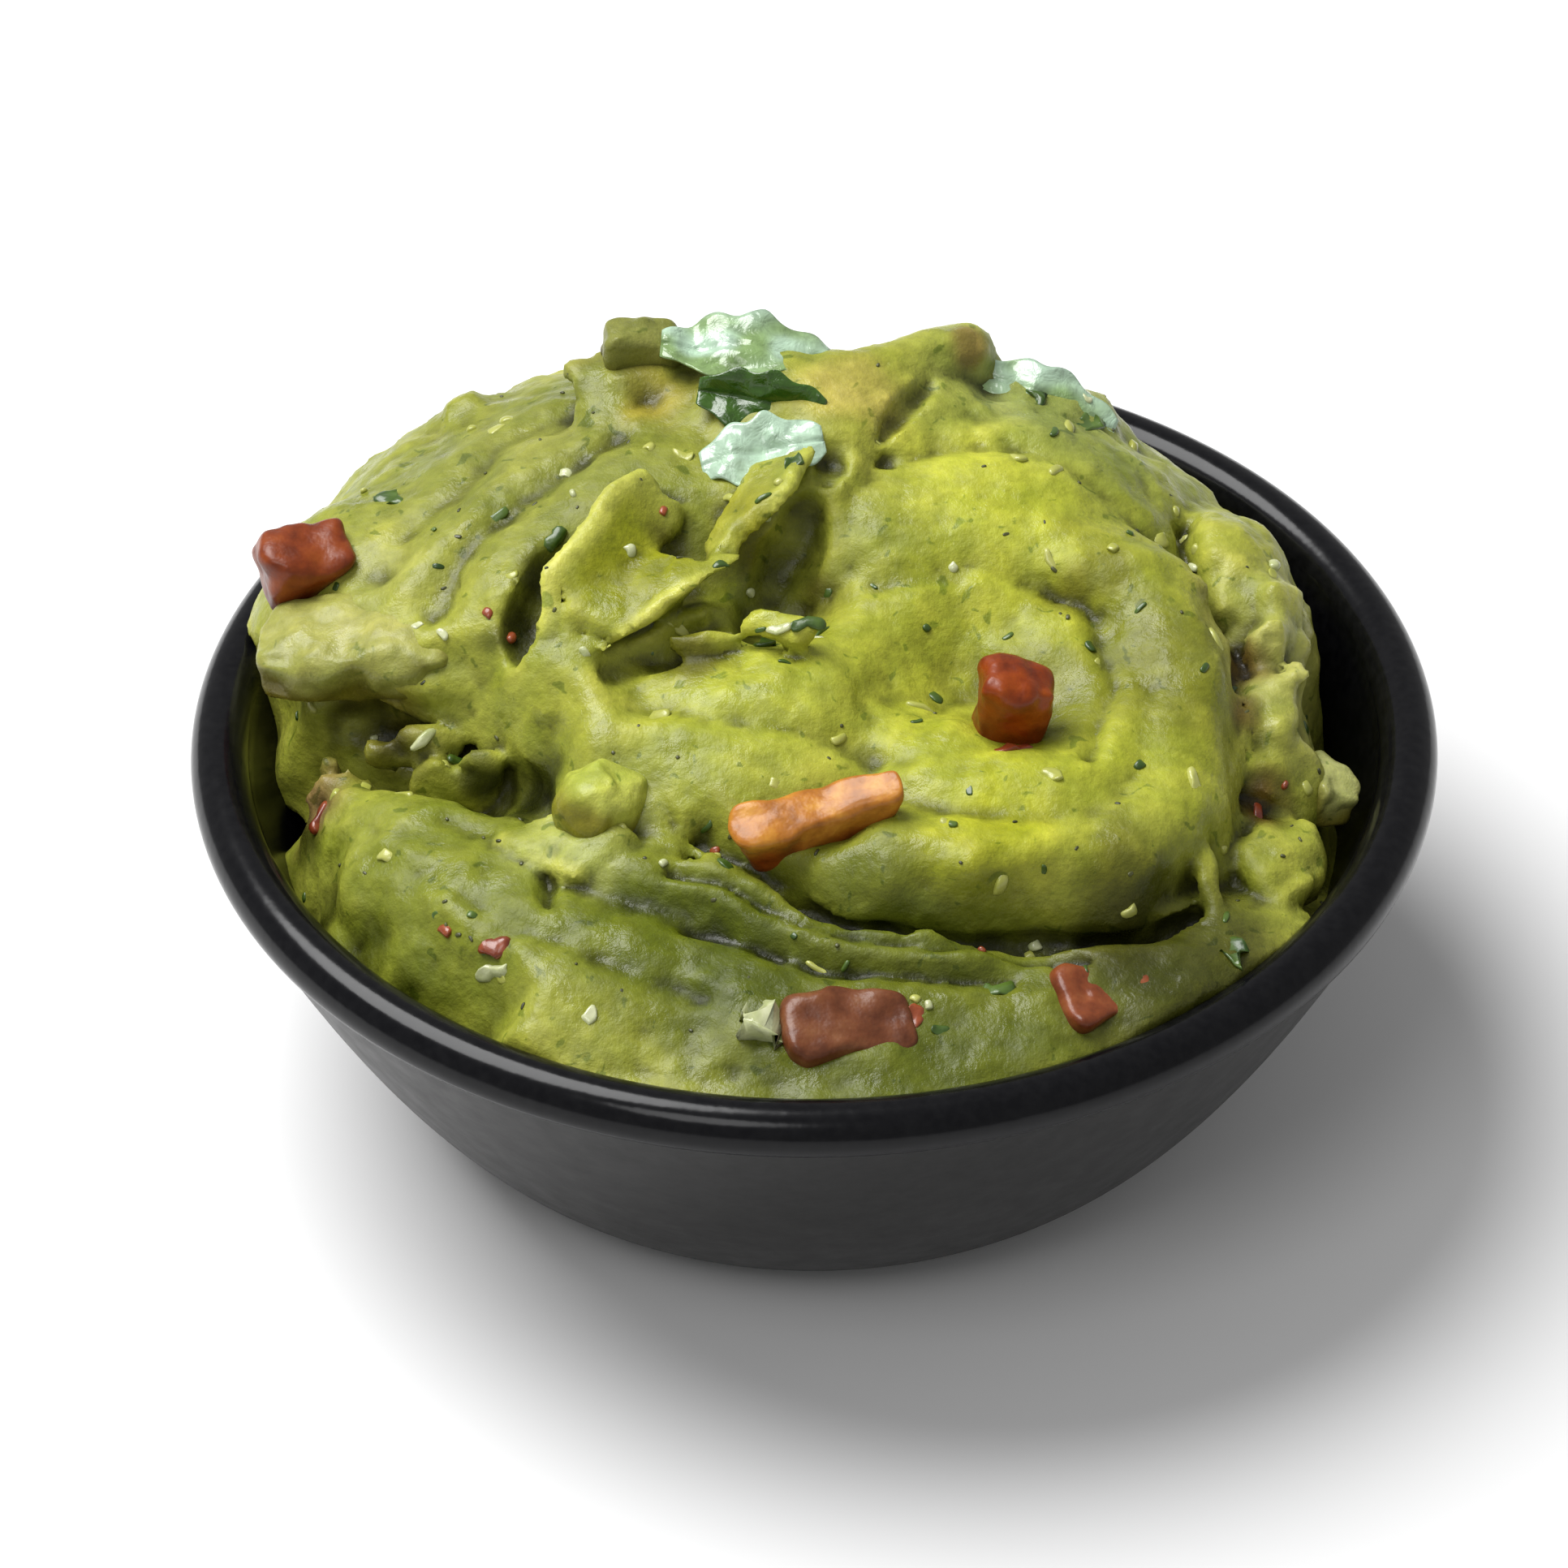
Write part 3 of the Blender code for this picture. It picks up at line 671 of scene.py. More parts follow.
class Nodes:
    """Short ways to add shader nodes to one material."""

    def __init__(self, name):
        self.material = bpy.data.materials.new(name)
        self.material.use_nodes = True
        self.tree = self.material.node_tree
        self.shader = self.tree.nodes["Principled BSDF"]

    def add(self, kind, **settings):
        node = self.tree.nodes.new(kind)
        for key, value in settings.items():
            setattr(node, key, value)
        return node

    def link(self, source, target):
        self.tree.links.new(source, target)

    def position(self):
        return self.add("ShaderNodeNewGeometry").outputs["Position"]

    def noise(self, scale, detail=3.0, rough=0.55, warp=0.0):
        node = self.add("ShaderNodeTexNoise")
        node.inputs["Scale"].default_value = scale
        node.inputs["Detail"].default_value = detail
        node.inputs["Roughness"].default_value = rough
        node.inputs["Distortion"].default_value = warp
        self.link(self.position(), node.inputs["Vector"])
        return node.outputs["Fac"]

    def ramp(self, source, stops):
        node = self.add("ShaderNodeValToRGB")
        marks = node.color_ramp.elements
        while len(marks) < len(stops):
            marks.new(0.5)
        for mark, (where, colour) in zip(marks, stops):
            mark.position = where
            mark.color = (*colour, 1.0)
        self.link(source, node.inputs["Fac"])
        return node.outputs["Color"]

    def mix(self, share, a, b, blend="MIX"):
        node = self.add("ShaderNodeMix", data_type="RGBA", blend_type=blend)
        for value, name in ((share, "Factor"), (a, "A"), (b, "B")):
            socket = node.inputs[name]
            if hasattr(value, "links"):
                self.link(value, socket)
            else:
                socket.default_value = value if isinstance(value, float) else (*value, 1.0)
        return node.outputs["Result"]

    def attribute(self, name):
        return self.add("ShaderNodeAttribute", attribute_name=name).outputs["Color"]

    def bump(self, height, strength, distance):
        node = self.add("ShaderNodeBump")
        node.inputs["Strength"].default_value = strength
        node.inputs["Distance"].default_value = distance
        self.link(height, node.inputs["Height"])
        self.link(node.outputs["Normal"], self.shader.inputs["Normal"])

    def finish(self, **values):
        for name, value in values.items():
            self.shader.inputs[name.replace("_", " ")].default_value = value
        return self.material


def grey(value):
    return (value, value, value)


def guacamole_material(name="guacamole", wet=0.04):
    n = Nodes(name)
    base = n.attribute("dip_colour")
    blotch = n.ramp(n.noise(170.0, 4.0, 0.6, 0.4),
                    [(0.30, (0.70, 0.75, 0.56)), (0.70, (1.20, 1.17, 1.26))])
    colour = n.mix(0.8, base, blotch, "MULTIPLY")
    patch = n.ramp(n.noise(75.0, 3.0, 0.6, 0.6),
                   [(0.36, (0.80, 0.84, 0.70)), (0.64, (1.14, 1.12, 1.16))])
    colour = n.mix(0.8, colour, patch, "MULTIPLY")
    fibre = n.ramp(n.noise(620.0, 3.0, 0.6), [(0.34, grey(0.70)), (0.68, grey(1.18))])
    colour = n.mix(0.55, colour, fibre, "MULTIPLY")
    herb = n.ramp(n.noise(480.0, 2.0, 0.5, 0.6), [(0.655, grey(1.0)), (0.70, (0.42, 0.52, 0.30))])
    colour = n.mix(0.75, colour, herb, "MULTIPLY")
    n.link(colour, n.shader.inputs["Base Color"])
    gloss = n.ramp(n.noise(260.0, 3.0), [(0.36, grey(0.24)), (0.62, grey(0.52))])
    n.link(gloss, n.shader.inputs["Roughness"])
    n.bump(n.noise(640.0, 4.0, 0.62), 0.5, 0.0006)
    return n.finish(Subsurface_Weight=0.18, Subsurface_Radius=(0.003, 0.0036, 0.001),
                    Subsurface_Scale=0.35, Specular_IOR_Level=0.27, Coat_Weight=wet,
                    Coat_Roughness=0.2)


def bowl_material():
    n = Nodes("black bowl")
    shade = n.ramp(n.noise(900.0, 2.0), [(0.35, grey(0.0)), (0.7, grey(0.003))])
    n.link(n.mix(1.0, n.attribute("bowl_colour"), shade, "ADD"), n.shader.inputs["Base Color"])
    worn = n.ramp(n.noise(300.0, 3.0), [(0.3, grey(0.9)), (0.7, grey(1.1))])
    finish = n.mix(1.0, n.attribute("bowl_finish"), worn, "MULTIPLY")
    n.link(finish, n.shader.inputs["Roughness"])
    n.link(n.attribute("bowl_sheen"), n.shader.inputs["Specular IOR Level"])
    n.bump(n.noise(420.0, 2.0), 0.10, 0.0003)
    return n.finish(IOR=1.5)


def tomato_material():
    n = Nodes("tomato")
    patch = n.ramp(n.noise(330.0, 3.0, 0.6), [(0.30, (0.45, 0.35, 0.35)), (0.52, grey(1.0)),
                                              (0.74, (1.5, 2.0, 2.2))])
    n.link(n.mix(0.8, n.attribute("tint"), patch, "MULTIPLY"), n.shader.inputs["Base Color"])
    n.bump(n.noise(900.0, 2.0), 0.4, 0.0003)
    return n.finish(Roughness=0.36, Specular_IOR_Level=0.34, Subsurface_Weight=0.08,
                    Subsurface_Radius=(0.003, 0.001, 0.0006), Subsurface_Scale=0.3,
                    Coat_Weight=0.10, Coat_Roughness=0.14)


def leaf_material():
    n = Nodes("cilantro")
    vein = n.ramp(n.noise(420.0, 3.0, 0.6, 0.8), [(0.32, grey(0.68)), (0.68, grey(1.25))])
    n.link(n.mix(0.8, n.attribute("tint"), vein, "MULTIPLY"), n.shader.inputs["Base Color"])
    n.bump(n.noise(520.0, 3.0, 0.6, 0.5), 0.6, 0.0006)
    return n.finish(Roughness=0.24, Coat_Weight=0.5, Coat_Roughness=0.08)


def bit_material(name, low, high, rough):
    n = Nodes(name)
    n.link(n.ramp(n.noise(380.0, 3.0), [(0.34, low), (0.66, high)]), n.shader.inputs["Base Color"])
    n.bump(n.noise(1100.0, 2.0), 0.3, 0.0002)
    return n.finish(Roughness=rough, Coat_Weight=0.3, Coat_Roughness=0.12)


# ---- bowl


def bowl_profile():
    """Outline of the wall as (radius, height, part), from under the base round to the inside."""
    foot_in = FOOT_R - FOOT_W
    foot = [(0.0, FOOT_RECESS), (foot_in, FOOT_RECESS), (foot_in + 0.6, 0.3),
            (foot_in + 1.2, 0.0), (FOOT_R - 0.4, 0.0), (FOOT_R, 0.25)]
    line = [(r, z, "outside") for r, z in foot]
    shoulder = BOWL_H - LIP_H
    for step in range(2, WALL_RINGS + 1):
        z = shoulder * (step / WALL_RINGS) ** RING_CROWDING
        line.append((float(outer_radius(z)), z, "outside"))
    lip_r = LIP_W / 2
    for step in range(LIP_RINGS + 1):
        angle = math.pi * (LIP_FROM + LIP_TURN * step / LIP_RINGS)
        r = RIM_R - lip_r + lip_r * math.cos(angle)
        line.append((r, BOWL_H - lip_r + lip_r * math.sin(angle), "lip"))
    for step in range(WALL_RINGS - 1, -1, -1):
        z = FLOOR_Z + (BOWL_H - lip_r - FLOOR_Z) * (step / WALL_RINGS) ** RING_CROWDING
        line.append((float(inner_radius(z)), z, "inside"))
    line.append((0.0, FLOOR_Z, "inside"))
    return line


# Base colour, roughness and sheen of each part of the bowl.
BOWL_LOOKS = {
    "outside": ((0.010, 0.0098, 0.0095), 0.40, 0.27),
    "lip": ((0.002, 0.002, 0.003), 0.17, 0.24),
    "inside": ((0.001, 0.001, 0.002), 0.24, 0.08),
}


def make_bowl():
    line = bowl_profile()
    turns = np.linspace(0.0, 2 * math.pi, BOWL_SEGMENTS, endpoint=False)
    vertices, colours, finishes, sheens = [], [], [], []
    for r, z, part in line:
        rings = turns if r > 0.0 else turns[:1]
        for turn in rings:
            vertices.append((r * math.cos(turn), r * math.sin(turn), z - BOWL_H))
        colour, rough, sheen = BOWL_LOOKS[part]
        colours += [colour] * len(rings)
        finishes += [grey(rough)] * len(rings)
        sheens += [grey(sheen)] * len(rings)
    faces = []
    count = BOWL_SEGMENTS
    for k in range(len(line) - 1):
        start = 1 + (k - 1) * count
        for step in range(count):
            after = (step + 1) % count
            if k == 0:
                faces.append((0, 1 + after, 1 + step))
            elif k == len(line) - 2:
                faces.append((start + step, start + after, len(vertices) - 1))
            else:
                faces.append((start + step, start + after, start + count + after,
                              start + count + step))
    bowl = add_mesh("bowl_shell", vertices, faces, bowl_material())
    add_colours(bowl, "bowl_colour", colours)
    add_colours(bowl, "bowl_finish", finishes)
    add_colours(bowl, "bowl_sheen", sheens)
    return belongs(bowl, "bowl", "bowl")


# ---- heap


# Tint of the dip round a place: centre, reach, colour. Some are the dip's own tints. The dark ones
# in crevices, hollows, under the flap and the dollop and along the left wall are painted shade,
# the darker front slopes are partly painted shade, and the pale crest of the swirl's front is
# partly a painted highlight.
BASE_TINT = (0.315, 0.330, 0.042)
TINTS_AND_PAINTED_LIGHT = [
    ((20, -12, 12), 26, (0.415, 0.435, 0.034)),
    # painted shade on the dollop's right side
    ((34, -8, 9), 13, (0.16, 0.17, 0.013)),
    ((18, 12, 17), 13, (0.45, 0.47, 0.042)),
    # partly a painted highlight on the swirl's front crest, then painted shade under the dollop's
    # lower right and in the hollow round the tomato
    ((15, -30, 9), 9.5, (0.56, 0.56, 0.036)),
    ((29, -31, 4), 8.5, (0.13, 0.135, 0.01)),
    ((21, -11, 10), 10.5, (0.215, 0.225, 0.016)),
    ((27, 3, 13), 6.5, (0.24, 0.235, 0.022)),
    # painted shade in the crevice between the dollop and the right mass
    ((38.5, 0, 9), 7.5, (0.25, 0.235, 0.04)),
    ((-6, -14, 13), 14, (0.37, 0.395, 0.04)),
    ((-26, 20, 18), 28, (0.218, 0.234, 0.037)),
    ((-30, -30, 4), 22, (0.165, 0.19, 0.016)),
    # darker front slopes, partly painted shade, then painted shade under the dollop's front
    ((-12, -38, 3), 15, (0.095, 0.12, 0.003)),
    ((6, -46, 0), 26, (0.085, 0.105, 0.006)),
    ((34, -40, -2), 17, (0.034, 0.038, 0.003)),
    ((27, -36, 0), 7, (0.05, 0.052, 0.004)),
    ((44, 0, 2), 15, (0.4, 0.4, 0.105)),
    ((24, 30, 12), 20, (0.29, 0.325, 0.085)),
    ((-17, -1, 18), 8.5, (0.205, 0.22, 0.002)),
    # painted shade in the crevice left of the flap
    ((-24.6, 1.5, 15.5), 4.2, (0.018, 0.02, 0.002)),
    ((-26.8, -3.5, 13.5), 4.2, (0.018, 0.02, 0.002)),
    ((-5, 5, 19), 6, (0.24, 0.235, 0.008)),
    # painted shade in the flap's hollow, in the hole right of it and under it
    ((-12.2, 3, 16), 4.2, (0.08, 0.075, 0.006)),
    ((-2.6, 1.2, 15), 6.2, (0.04, 0.028, 0.003)),
    ((-12, -8, 13.5), 4.5, (0.12, 0.115, 0.008)),
    ((4, 21, 22), 7.5, (0.4, 0.345, 0.07)),
    ((15.5, 31.5, 22), 3, (0.2, 0.145, 0.035)),
    ((-18, 29.5, 22), 5, (0.25, 0.23, 0.05)),
    ((-42, -5, 5), 6.5, (0.3, 0.25, 0.035)),
    # painted shade in the recess under the shelf
    ((-40, -8, 1), 7, (0.13, 0.13, 0.016)),
    ((-48, -12, -1), 6.5, (0.2, 0.12, 0.05)),
    ((-41, 4, 9), 8.5, (0.34, 0.35, 0.085)),
    # painted shade in the crevices by the nub and in the gap under the shelf
    ((-27, -17, 4), 4.8, (0.022, 0.025, 0.003)),
    ((-31, -13, 2), 4.2, (0.03, 0.034, 0.004)),
    ((-41, -6, 1.5), 4.2, (0.05, 0.042, 0.005)),
    ((-46.5, -5, 1), 4.2, (0.04, 0.032, 0.004)),
    # painted shade in the crevice and crack right of the dollop
    ((40.6, -1, 5.5), 4, (0.1, 0.05, 0.008)),
    ((40.6, -8, 4), 4, (0.1, 0.05, 0.008)),
    ((42.6, -16, 1), 4.2, (0.09, 0.045, 0.008)),
    ((-22, -27, 6), 8, (0.36, 0.39, 0.085)),
    ((-15, 23, 20), 6, (0.32, 0.27, 0.035)),
    # painted shade in the gap along the left wall
    ((-51, -16, -4), 5.5, (0.03, 0.034, 0.003)),
    ((-48, -24.5, -4), 5.5, (0.03, 0.034, 0.003)),
    ((-43.5, -32, -4), 5, (0.035, 0.04, 0.003)),
    ((-38, -38.5, -3), 4.5, (0.045, 0.052, 0.004)),
]
# Painted shade that darkens hollows, and painted highlight that lightens ridges.
HOLLOW_SHADE_TONE = (0.20, 0.20, 0.12)
RIDGE_HIGHLIGHT_TONE = (1.20, 1.17, 1.25)
# Painted highlight along the flaps' raised edges, and how far it reaches.
EDGE_HIGHLIGHT = (0.47, 0.48, 0.085)
EDGE_HIGHLIGHT_W = 1.5
TINT_WANDER, TINT_WANDER_BY = 4.0, 2.2
TINT_SHARE = 0.9
# Hollows and ridges, small and broad, where shade is painted into the hollows and highlight onto
# the ridges: rounds of smoothing that find them, and their depth.
RELIEFS = ((8, 0.26), (60, 1.1))
HOLLOW_SHADE_SHARE, RIDGE_HIGHLIGHT_SHARE = 0.8, 0.6


def dip_colours(points, quads, normals):
    """A colour for each vertex: its place's tint, with painted shade in hollows and painted
    highlight on ridges and along the flaps' edges.
    """
    spread = points + TINT_WANDER_BY * noises(points, TINT_WANDER, (51, 53, 57))
    colour = np.tile(BASE_TINT, (len(points), 1))
    for centre, reach, tint in TINTS_AND_PAINTED_LIGHT:
        share = smooth_step(1.5 * (1.0 - np.linalg.norm(spread - centre, axis=1) / reach))
        colour = blend(share * TINT_SHARE, colour, tint)
    bent = points + bend_at(points) * BEND_OF_DETAIL
    # Painted highlight along the raised edges of the flaps and pieces.
    for name in ("flap left", "flap right", "right slice", "nub skirt"):
        away, _ = path_distance(bent, FLAPS[name][1])
        colour = blend(0.8 * smooth_step(1.6 * (1.0 - away / EDGE_HIGHLIGHT_W)), colour, EDGE_HIGHLIGHT)
    # Painted shade in the hollows and painted highlight on the ridges.
    for rounds, depth in RELIEFS:
        relief = ((smoothed(points, quads, rounds) - points) * normals).sum(axis=1)
        hollow, ridge = smooth_step(relief / depth), smooth_step(-relief / depth)
        colour = colour * blend(hollow * HOLLOW_SHADE_SHARE, grey(1.0), HOLLOW_SHADE_TONE)
        colour = colour * blend(ridge * RIDGE_HIGHLIGHT_SHARE, grey(1.0), RIDGE_HIGHLIGHT_TONE)
    return colour


def make_heap(table):
    points, quads = heap_surface(table)
    normals = vertex_normals(points, quads)
    colours = dip_colours(points, quads, normals)
    dip = add_mesh("dip", points, quads, guacamole_material())
    add_colours(dip, "dip_colour", colours)
    belongs(dip, "guacamole", "guacamole")
    return points, normals


# ---- larger toppings

# Tomato: centre, sizes and turn as in the solid, then how far its right end curls up.
TOMATOES = {
    "tomato_centre": ((18.6, -14.4, 11), (7, 5.2, 10.2), (6, 4, -4), 0.3),
    "tomato_front": ((0, -27.2, 7.8), (14.6, 4.6, 6.4), (14, -6, 12), 3.6),
    "tomato_left": ((-49, 8.8, 10.6), (8, 6.2, 8.2), (14, 6, 20), 0.4),
    "tomato_brim": ((2.8, -46.8, -0.4), (11, 6.5, 5.5), (20, 6, 8), 0.8),
    "tomato_brim_right": ((25.8, -42.6, -0.8), (8.5, 6, 5), (14, 14, 24), 1),
}
# Flesh and skin of each piece.
TOMATO_TINTS = {
    "tomato_centre": ((0.24, 0.036, 0.001), (0.17, 0.022, 0.001)),
    "tomato_front": ((0.46, 0.17, 0.018), (0.3, 0.06, 0.006)),
    "tomato_left": ((0.2, 0.034, 0.004), (0.12, 0.016, 0.002)),
    "tomato_brim": ((0.16, 0.048, 0.016), (0.085, 0.018, 0.006)),
    "tomato_brim_right": ((0.21, 0.05, 0.014), (0.11, 0.018, 0.005)),
}
# Chunks: centre, half sizes and turn as in the solid, then colour, and how squared it is.
CHUNKS = {
    "avocado_nub": ((-19.8, -23.6, 7.2), (4.6, 3.9, 4.1), (0, 25, 30), (0.4, 0.43, 0.07), 2.2),
    "avocado_shelf": ((-43, 0, 8), (10, 5.2, 2.9), (8, -9, -10), (0.31, 0.305, 0.075), 5),
    "avocado_crown": ((-16.5, 29, 21.9), (3.8, 2.3, 2.5), (6, 8, 10), (0.2, 0.205, 0.045), 6),
    "onion_right": ((48.4, -9.6, -2.4), (2.8, 3.6, 2.2), (0, 25, 20), (0.44, 0.45, 0.15), 4.6),
}
BLOCK_STEPS = 22
RIPPLE = 1.3  # width of the small ripples on them
TOMATO_POWER = 5.0
TOMATO_TAPER, TOMATO_FLARE = 0.14, 0.12  # thinner to the right, and wider to the top


def uneven(local, shape, seeds, swell, swell_by, ripple_by):
    """A piece's points pushed about, by broad swells and by small ripples."""
    drift = noises(local, swell, seeds[0] + np.arange(3))
    ripple = noise(local, RIPPLE, seeds[1])[:, None] * shape
    return local + swell_by * drift + ripple_by * ripple


def make_tomatoes():
    surface = tomato_material()
    shape, quads = rounded_block(TOMATO_POWER, BLOCK_STEPS)
    for order, (name, (centre, sizes, turn, curl)) in enumerate(TOMATOES.items()):
        local = shape * np.array(sizes) / 2.0
        reach = np.clip(shape[:, 0], 0.0, None) ** 2
        local[:, 2] += curl * reach
        local[:, 1:] *= 1.0 - TOMATO_TAPER * shape[:, :1]
        local[:, :2] *= 1.0 + TOMATO_FLARE * shape[:, 2:]
        seeds = 61.0 + 3 * order, 71.0 + order
        placed = turned(uneven(local, shape, seeds, 3.6, 0.75, 0.18), turn) + centre
        flesh, skin = TOMATO_TINTS[name]
        share = smooth_step(0.5 + 0.9 * shape[:, 2] + 0.7 * noise(local, 2.6, 81.0 + order))
        piece = add_mesh(name + "_flesh", placed, quads, surface)
        add_colours(piece, "tint", blend(share, skin, flesh))
        belongs(piece, "tomato", name)


def make_chunks():
    avocado = guacamole_material("avocado", 0.15)
    onion = guacamole_material("onion", 0.4)
    for order, (name, values) in enumerate(CHUNKS.items()):
        centre, halves, turn, colour, power = values
        shape, quads = rounded_block(power, BLOCK_STEPS)
        local = shape * np.array(halves)
        seeds = 91.0 + 3 * order, 101.0 + order
        placed = turned(uneven(local, shape, seeds, 3.0, 0.6, 0.28), turn) + centre
        tone = smooth_step(0.4 + 0.75 * shape[:, 2] + 0.5 * noise(local, 2.4, 111.0 + order))
        tints = blend(tone, np.array(colour) * (0.55, 0.47, 0.22), np.array(colour) * 1.12)
        kind = name.split("_")[0]
        piece = add_mesh(name + "_pulp", placed, quads, onion if kind == "onion" else avocado)
        add_colours(piece, "dip_colour", tints)
        belongs(piece, kind, name)


# Leaves: stalk end, length, width, turn, cupping and bend as in the solid, then the colours of
# the near and the far side.
# Pale mint is a painted reflection of the light on the wet leaves; the greens are the leaves' own.
PAINTED_REFLECTION_MINT = (0.42, 0.58, 0.43)
SOFT_GREEN = (0.20, 0.31, 0.11)
DEEP_GREEN = (0.035, 0.095, 0.006)
LEAVES = {
    "cilantro_crown": ((-14.6, 27, 24), 16.5, 8, (14, 3, -3), 0.2, 0.16,
                      SOFT_GREEN, PAINTED_REFLECTION_MINT),
    "cilantro_fold": ((-11, 20, 23.4), 12.5, 6, (58, 6, -8), 0.15, 0.15,
                     DEEP_GREEN, DEEP_GREEN),
    "cilantro_front": ((-10.6, 12, 20.8), 12, 7, (26, -6, 10), 0.2, 0.22,
                      PAINTED_REFLECTION_MINT, PAINTED_REFLECTION_MINT),
    "cilantro_right": ((16, 31, 17.8), 15, 6.5, (24, 18, -16), 0.25, 0.22,
                      SOFT_GREEN, PAINTED_REFLECTION_MINT),
}
LEAF_T = 0.55
LEAF_ALONG, LEAF_ACROSS = 40, 20
LEAF_RIB_DEPTH, LEAF_RIB_W = 0.35, 0.12  # the width as a share of the leaf's half


def leaf_outline(along):
    arch = np.sin(math.pi * (0.05 + 0.90 * along)) ** 0.7
    return 0.16 + 0.84 * arch * (1.0 + 0.13 * np.cos(6.5 * math.pi * along + 0.6))


def make_leaves():
    surface = leaf_material()
    i, k = np.meshgrid(np.arange(LEAF_ALONG + 1), np.arange(LEAF_ACROSS + 1), indexing="ij")
    along, across = i / LEAF_ALONG, 2.0 * k / LEAF_ACROSS - 1.0
    flat = i * (LEAF_ACROSS + 1) + k
    cells = np.stack([flat[:-1, :-1], flat[1:, :-1], flat[1:, 1:], flat[:-1, 1:]], -1)
    cells = cells.reshape(-1, 4)
    border = np.concatenate([flat[:-1, 0], flat[-1, :-1], flat[:0:-1, -1], flat[0, :0:-1]])
    after = np.roll(border, -1)
    count = flat.size
    rim = np.stack([border + count, after + count, after, border], -1)
    quads = np.concatenate([cells, cells[:, ::-1] + count, rim])
    for order, (name, values) in enumerate(LEAVES.items()):
        base, length, width, turn, cup, bend, near, far = values
        half_w = width / 2.0 * leaf_outline(along)
        middle = cup * half_w * across**2 - bend * length * (along - 0.5) ** 2
        middle = middle - LEAF_RIB_DEPTH * np.exp(-((across / LEAF_RIB_W) ** 2))
        sheet = np.stack([length * along, half_w * across, middle], -1).reshape(-1, 3)
        wave, crinkle = noise(sheet, 3.2, 121 + order), noise(sheet, 1.5, 131 + order)
        sheet[:, 2] += 0.9 * wave + 0.35 * crinkle
        edge = np.abs(across).ravel() ** 6
        half_t = LEAF_T / 2 * (1.0 - 0.6 * edge)
        lift = half_t[:, None] * [0, 0, 1]
        local = np.concatenate([sheet + lift, sheet - lift])
        placed = turned(local, turn) + base
        tone = smooth_step(0.45 + 0.5 * across.ravel() + 0.8 * noise(sheet, 3.0, 141.0 + order))
        tints = blend(tone, near, far)
        piece = add_mesh(name + "_leaf", placed, quads, surface)
        # The underside takes the same colours at half strength, as painted shade.
        add_colours(piece, "tint", np.concatenate([tints, tints * 0.5]))
        belongs(piece, "cilantro", name)


# ---- small bits

# Bits at a chosen place: x, y, then length, width, thickness and the turn about the upright.
FLECKS = [
    (-40.5, 16.5, 3.4, 1.6, 0.5, 10), (-12, -26.5, 2.2, 1.6, 0.7, 70),
    (-4.5, -5.8, 3.4, 1.6, 0.6, 25), (-0.6, -8.4, 3.2, 1.3, 0.5, -20),
    (1, -3.6, 3.2, 1, 0.4, 5), (38, -36.4, 2, 3.4, 0.5, 10),
    (-24.5, 4.6, 3.4, 1.4, 0.5, 40), (-30, 9.5, 3, 1, 0.4, 30),
    (27, 26.6, 5, 2.4, 0.5, -25), (22, 28.4, 4, 2.2, 0.5, -10),
    (11.5, -8.6, 1.8, 1.1, 0.4, 60), (26, -5, 1.6, 1, 0.4, 20),
    (-34, -10.5, 2.6, 1.5, 0.6, 50), (-38, -9, 3, 1.4, 0.5, -15),
    (-8, -30.5, 2, 1, 0.5, 30), (16.5, -43, 2.6, 1.8, 0.5, 0),
    (30.5, -20, 1.2, 0.9, 0.4, 0), (-2, 9.8, 2.4, 1.6, 0.5, 15),
]
SHREDS = [
    (-3.4, -8.4, 2.6, 0.9, 0.5, 35), (0.4, -5.2, 2.2, 0.9, 0.5, -30),
    (-24, 2.6, 2.2, 1.6, 1, 10), (-4.8, -47.6, 3.6, 4.2, 2.4, 15),
    (49.5, -7.4, 1.6, 1, 0.9, 20), (27, 30.4, 2.4, 1.2, 0.8, -20),
    (44.5, 11, 1.4, 1.2, 0.9, 0), (-29.5, -40, 3.6, 1.4, 0.8, 25),
    (-20.5, -46.5, 1.8, 1.2, 0.8, 40), (-37, -10, 2.6, 1.3, 0.9, 30),
]
RED_BITS = [
    (-29.5, -38.5, 3, 1.6, 1.2, 30), (-47, -14, 3.4, 1.5, 1.2, -20),
    (18.5, -18.6, 4.6, 1.3, 1, -4), (-34, -35.5, 1.8, 1, 0.8, 10),
    (41.8, -16.5, 2.6, 1, 0.8, 25), (8.8, -46, 2.4, 1.8, 1.2, 60),
]
BIT_UPWARD = 0.25  # how much the surface has to face up where a bit lies
BIT_FURTHEST = 52.0  # from the bowl's middle, for loose ones
BIT_TILT, BIT_DRIFT, BIT_BEND = 0.15, 0.34, 0.10


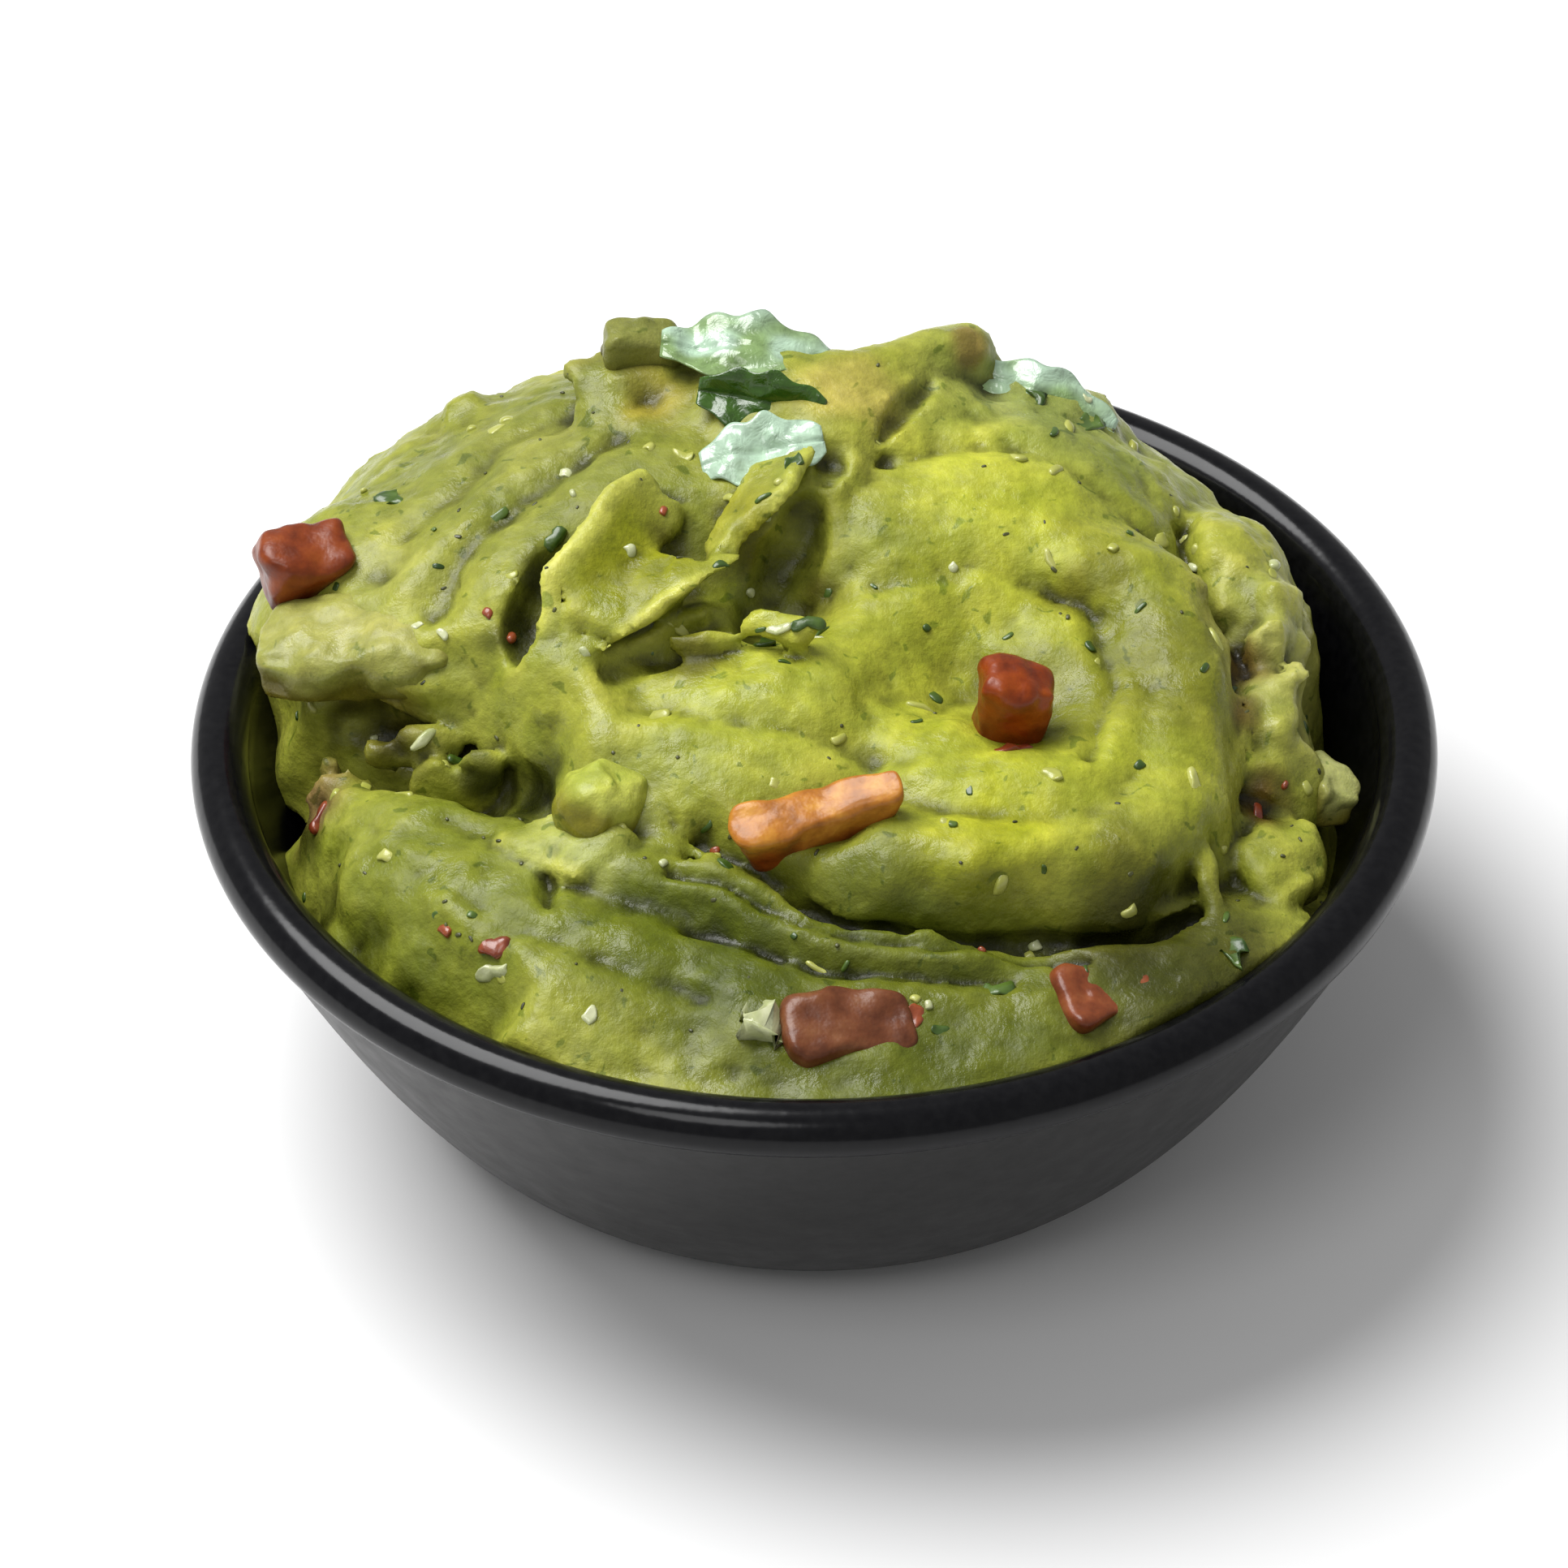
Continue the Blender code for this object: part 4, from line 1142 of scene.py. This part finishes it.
def scatter(name, slot, surface, heap, placed, loose, sizes, sink):
    """One mesh of bits lying on the heap: those at a chosen place, then loose ones."""
    points, normals = heap
    shape, quads = rounded_block(3.0, 4)
    top = np.flatnonzero(normals[:, 2] > BIT_UPWARD)
    picks = [top[np.argmin(np.hypot(points[top, 0] - x, points[top, 1] - y))]
             for x, y, *_ in placed]
    rest = [row[2:] for row in placed]
    free = top[np.hypot(points[top, 0], points[top, 1]) < BIT_FURTHEST]
    for pick in RNG.choice(free, loose, replace=False):
        long, wide, thick = (RNG.uniform(low, high) for low, high in sizes)
        picks.append(pick)
        rest.append((long, wide, thick, RNG.uniform(0.0, 360.0)))
    vertices, faces = [], []
    for order, (pick, (long, wide, thick, spin)) in enumerate(zip(picks, rest)):
        up = Vector(normals[pick] + RNG.normal(0.0, BIT_TILT, 3)).normalized()
        turn = up.to_track_quat("Z", "Y").to_matrix() @ Matrix.Rotation(math.radians(spin), 3, "Z")
        local = shape * np.array([long, wide, thick]) / 2.0
        local += BIT_DRIFT * wide * noises(local + order, 1.0, (151, 152, 153))
        local[:, 2] += (0.5 - sink) * thick - BIT_BEND * local[:, 0] ** 2 / max(long, 1.0)
        vertices.append(local @ np.array(turn).T + points[pick])
        faces.append(quads + order * len(shape))
    bits = add_mesh(name, np.concatenate(vertices), np.concatenate(faces), surface)
    return belongs(bits, slot)


# Materials of the bits: two colours and a roughness.
BIT_LOOKS = {
    "herb": ((0.02, 0.055, 0.004), (0.075, 0.135, 0.015), 0.35),
    "shred": ((0.4, 0.44, 0.19), (0.6, 0.62, 0.38), 0.22),
    "speck": ((0.03, 0.034, 0.008), (0.085, 0.09, 0.018), 0.5),
    "pulp bit": ((0.34, 0.36, 0.05), (0.46, 0.47, 0.12), 0.3),
    "tomato bit": ((0.13, 0.018, 0.006), (0.3, 0.065, 0.018), 0.3),
}
# Bits: slot, material, those at a chosen place, the number of loose ones, the range of their
# length, width and thickness, and the share of it that is sunk.
BITS = {
    "herb_flecks": ("cilantro", "herb", FLECKS, 46, ((0.7, 1.9), (0.4, 0.9), (0.25, 0.4)), 0.5),
    "onion_shreds": ("onion", "shred", SHREDS, 16, ((0.8, 1.8), (0.6, 1.1), (0.5, 0.8)), 0.55),
    "dark_specks": ("guacamole", "speck", [], 110, ((0.3, 0.8), (0.25, 0.4), (0.2, 0.3)), 0.6),
    "pulp_bits": ("guacamole", "pulp bit", [], 70, ((0.9, 3), (0.7, 1.5), (0.6, 1)), 0.72),
    "tomato_bits": ("tomato", "tomato bit", RED_BITS, 6,
                    ((0.7, 1.4), (0.5, 1), (0.5, 0.8)), 0.6),
}


def make_bits(heap):
    surfaces = {name: bit_material(name, *look) for name, look in BIT_LOOKS.items()}
    for name, (slot, surface, placed, loose, sizes, sink) in BITS.items():
        scatter(name, slot, surfaces[surface], heap, placed, loose, sizes, sink)


# ---- stage

VIEW_DOWN = 38.5  # degrees that the camera looks down
VIEW_DISTANCE = 650.0
VIEW_LENS = 155.1
VIEW_ROLL = -0.6
AIM_OFFSET = (-2.9, -4.45, -5.6)  # from the middle of the rim's top
FLOOR_HALF = 3.0  # metres, as are the lights' places and widths
# Place, width and watts.
LIGHTS = {
    "key": ((-0.34, 0.18, 0.76), 0.62, 9.0),
    "fill": ((-0.22, -0.50, 0.75), 0.35, 1.2),
}
WORLD_LIGHT = 0.34


def make_camera():
    data = bpy.data.cameras.new("camera")
    data.lens = VIEW_LENS
    data.sensor_width = 36.0
    data.clip_end = 10.0
    camera = add_object("camera", data)
    down = math.radians(VIEW_DOWN)
    centre = Vector((0, 0, BOWL_H)) * MM
    camera.location = centre + Vector((0, -math.cos(down), math.sin(down))) * VIEW_DISTANCE * MM
    aim = centre + Vector(AIM_OFFSET) * MM
    turn = (aim - camera.location).to_track_quat("-Z", "Y")
    roll = Matrix.Rotation(math.radians(VIEW_ROLL), 4, "Z")
    camera.matrix_world = Matrix.Translation(camera.location) @ turn.to_matrix().to_4x4() @ roll
    bpy.context.scene.camera = camera


def soft_light(name, location, width, watts):
    data = bpy.data.lights.new(name, "AREA")
    data.shape = "DISK"
    data.size = width
    data.energy = watts
    lamp = add_object(name, data)
    lamp.location = location
    lamp.rotation_euler = (-Vector(location)).to_track_quat("-Z", "Y").to_euler()


def make_stage():
    bm = bmesh.new()
    bmesh.ops.create_grid(bm, x_segments=2, y_segments=2, size=FLOOR_HALF)
    mesh = bpy.data.meshes.new("floor")
    bm.to_mesh(mesh)
    bm.free()
    floor = add_object("floor", mesh)
    n = Nodes("floor")
    tone = n.ramp(n.noise(6.0), [(0.3, grey(0.86)), (0.7, grey(0.88))])
    n.link(tone, n.shader.inputs["Base Color"])
    mesh.materials.append(n.finish(Roughness=0.9))
    for name, values in LIGHTS.items():
        soft_light(name, *values)
    world = bpy.data.worlds.new("studio")
    bpy.context.scene.world = world
    world.use_nodes = True
    sky = world.node_tree.nodes["Background"].inputs
    sky["Color"].default_value = (1.0, 1.0, 1.0, 1.0)
    sky["Strength"].default_value = WORLD_LIGHT
    bpy.context.scene.view_settings.view_transform = "Standard"


make_bowl()
dip_surface = make_heap(HeightTable())
make_tomatoes()
make_chunks()
make_leaves()
make_bits(dip_surface)
make_camera()
make_stage()
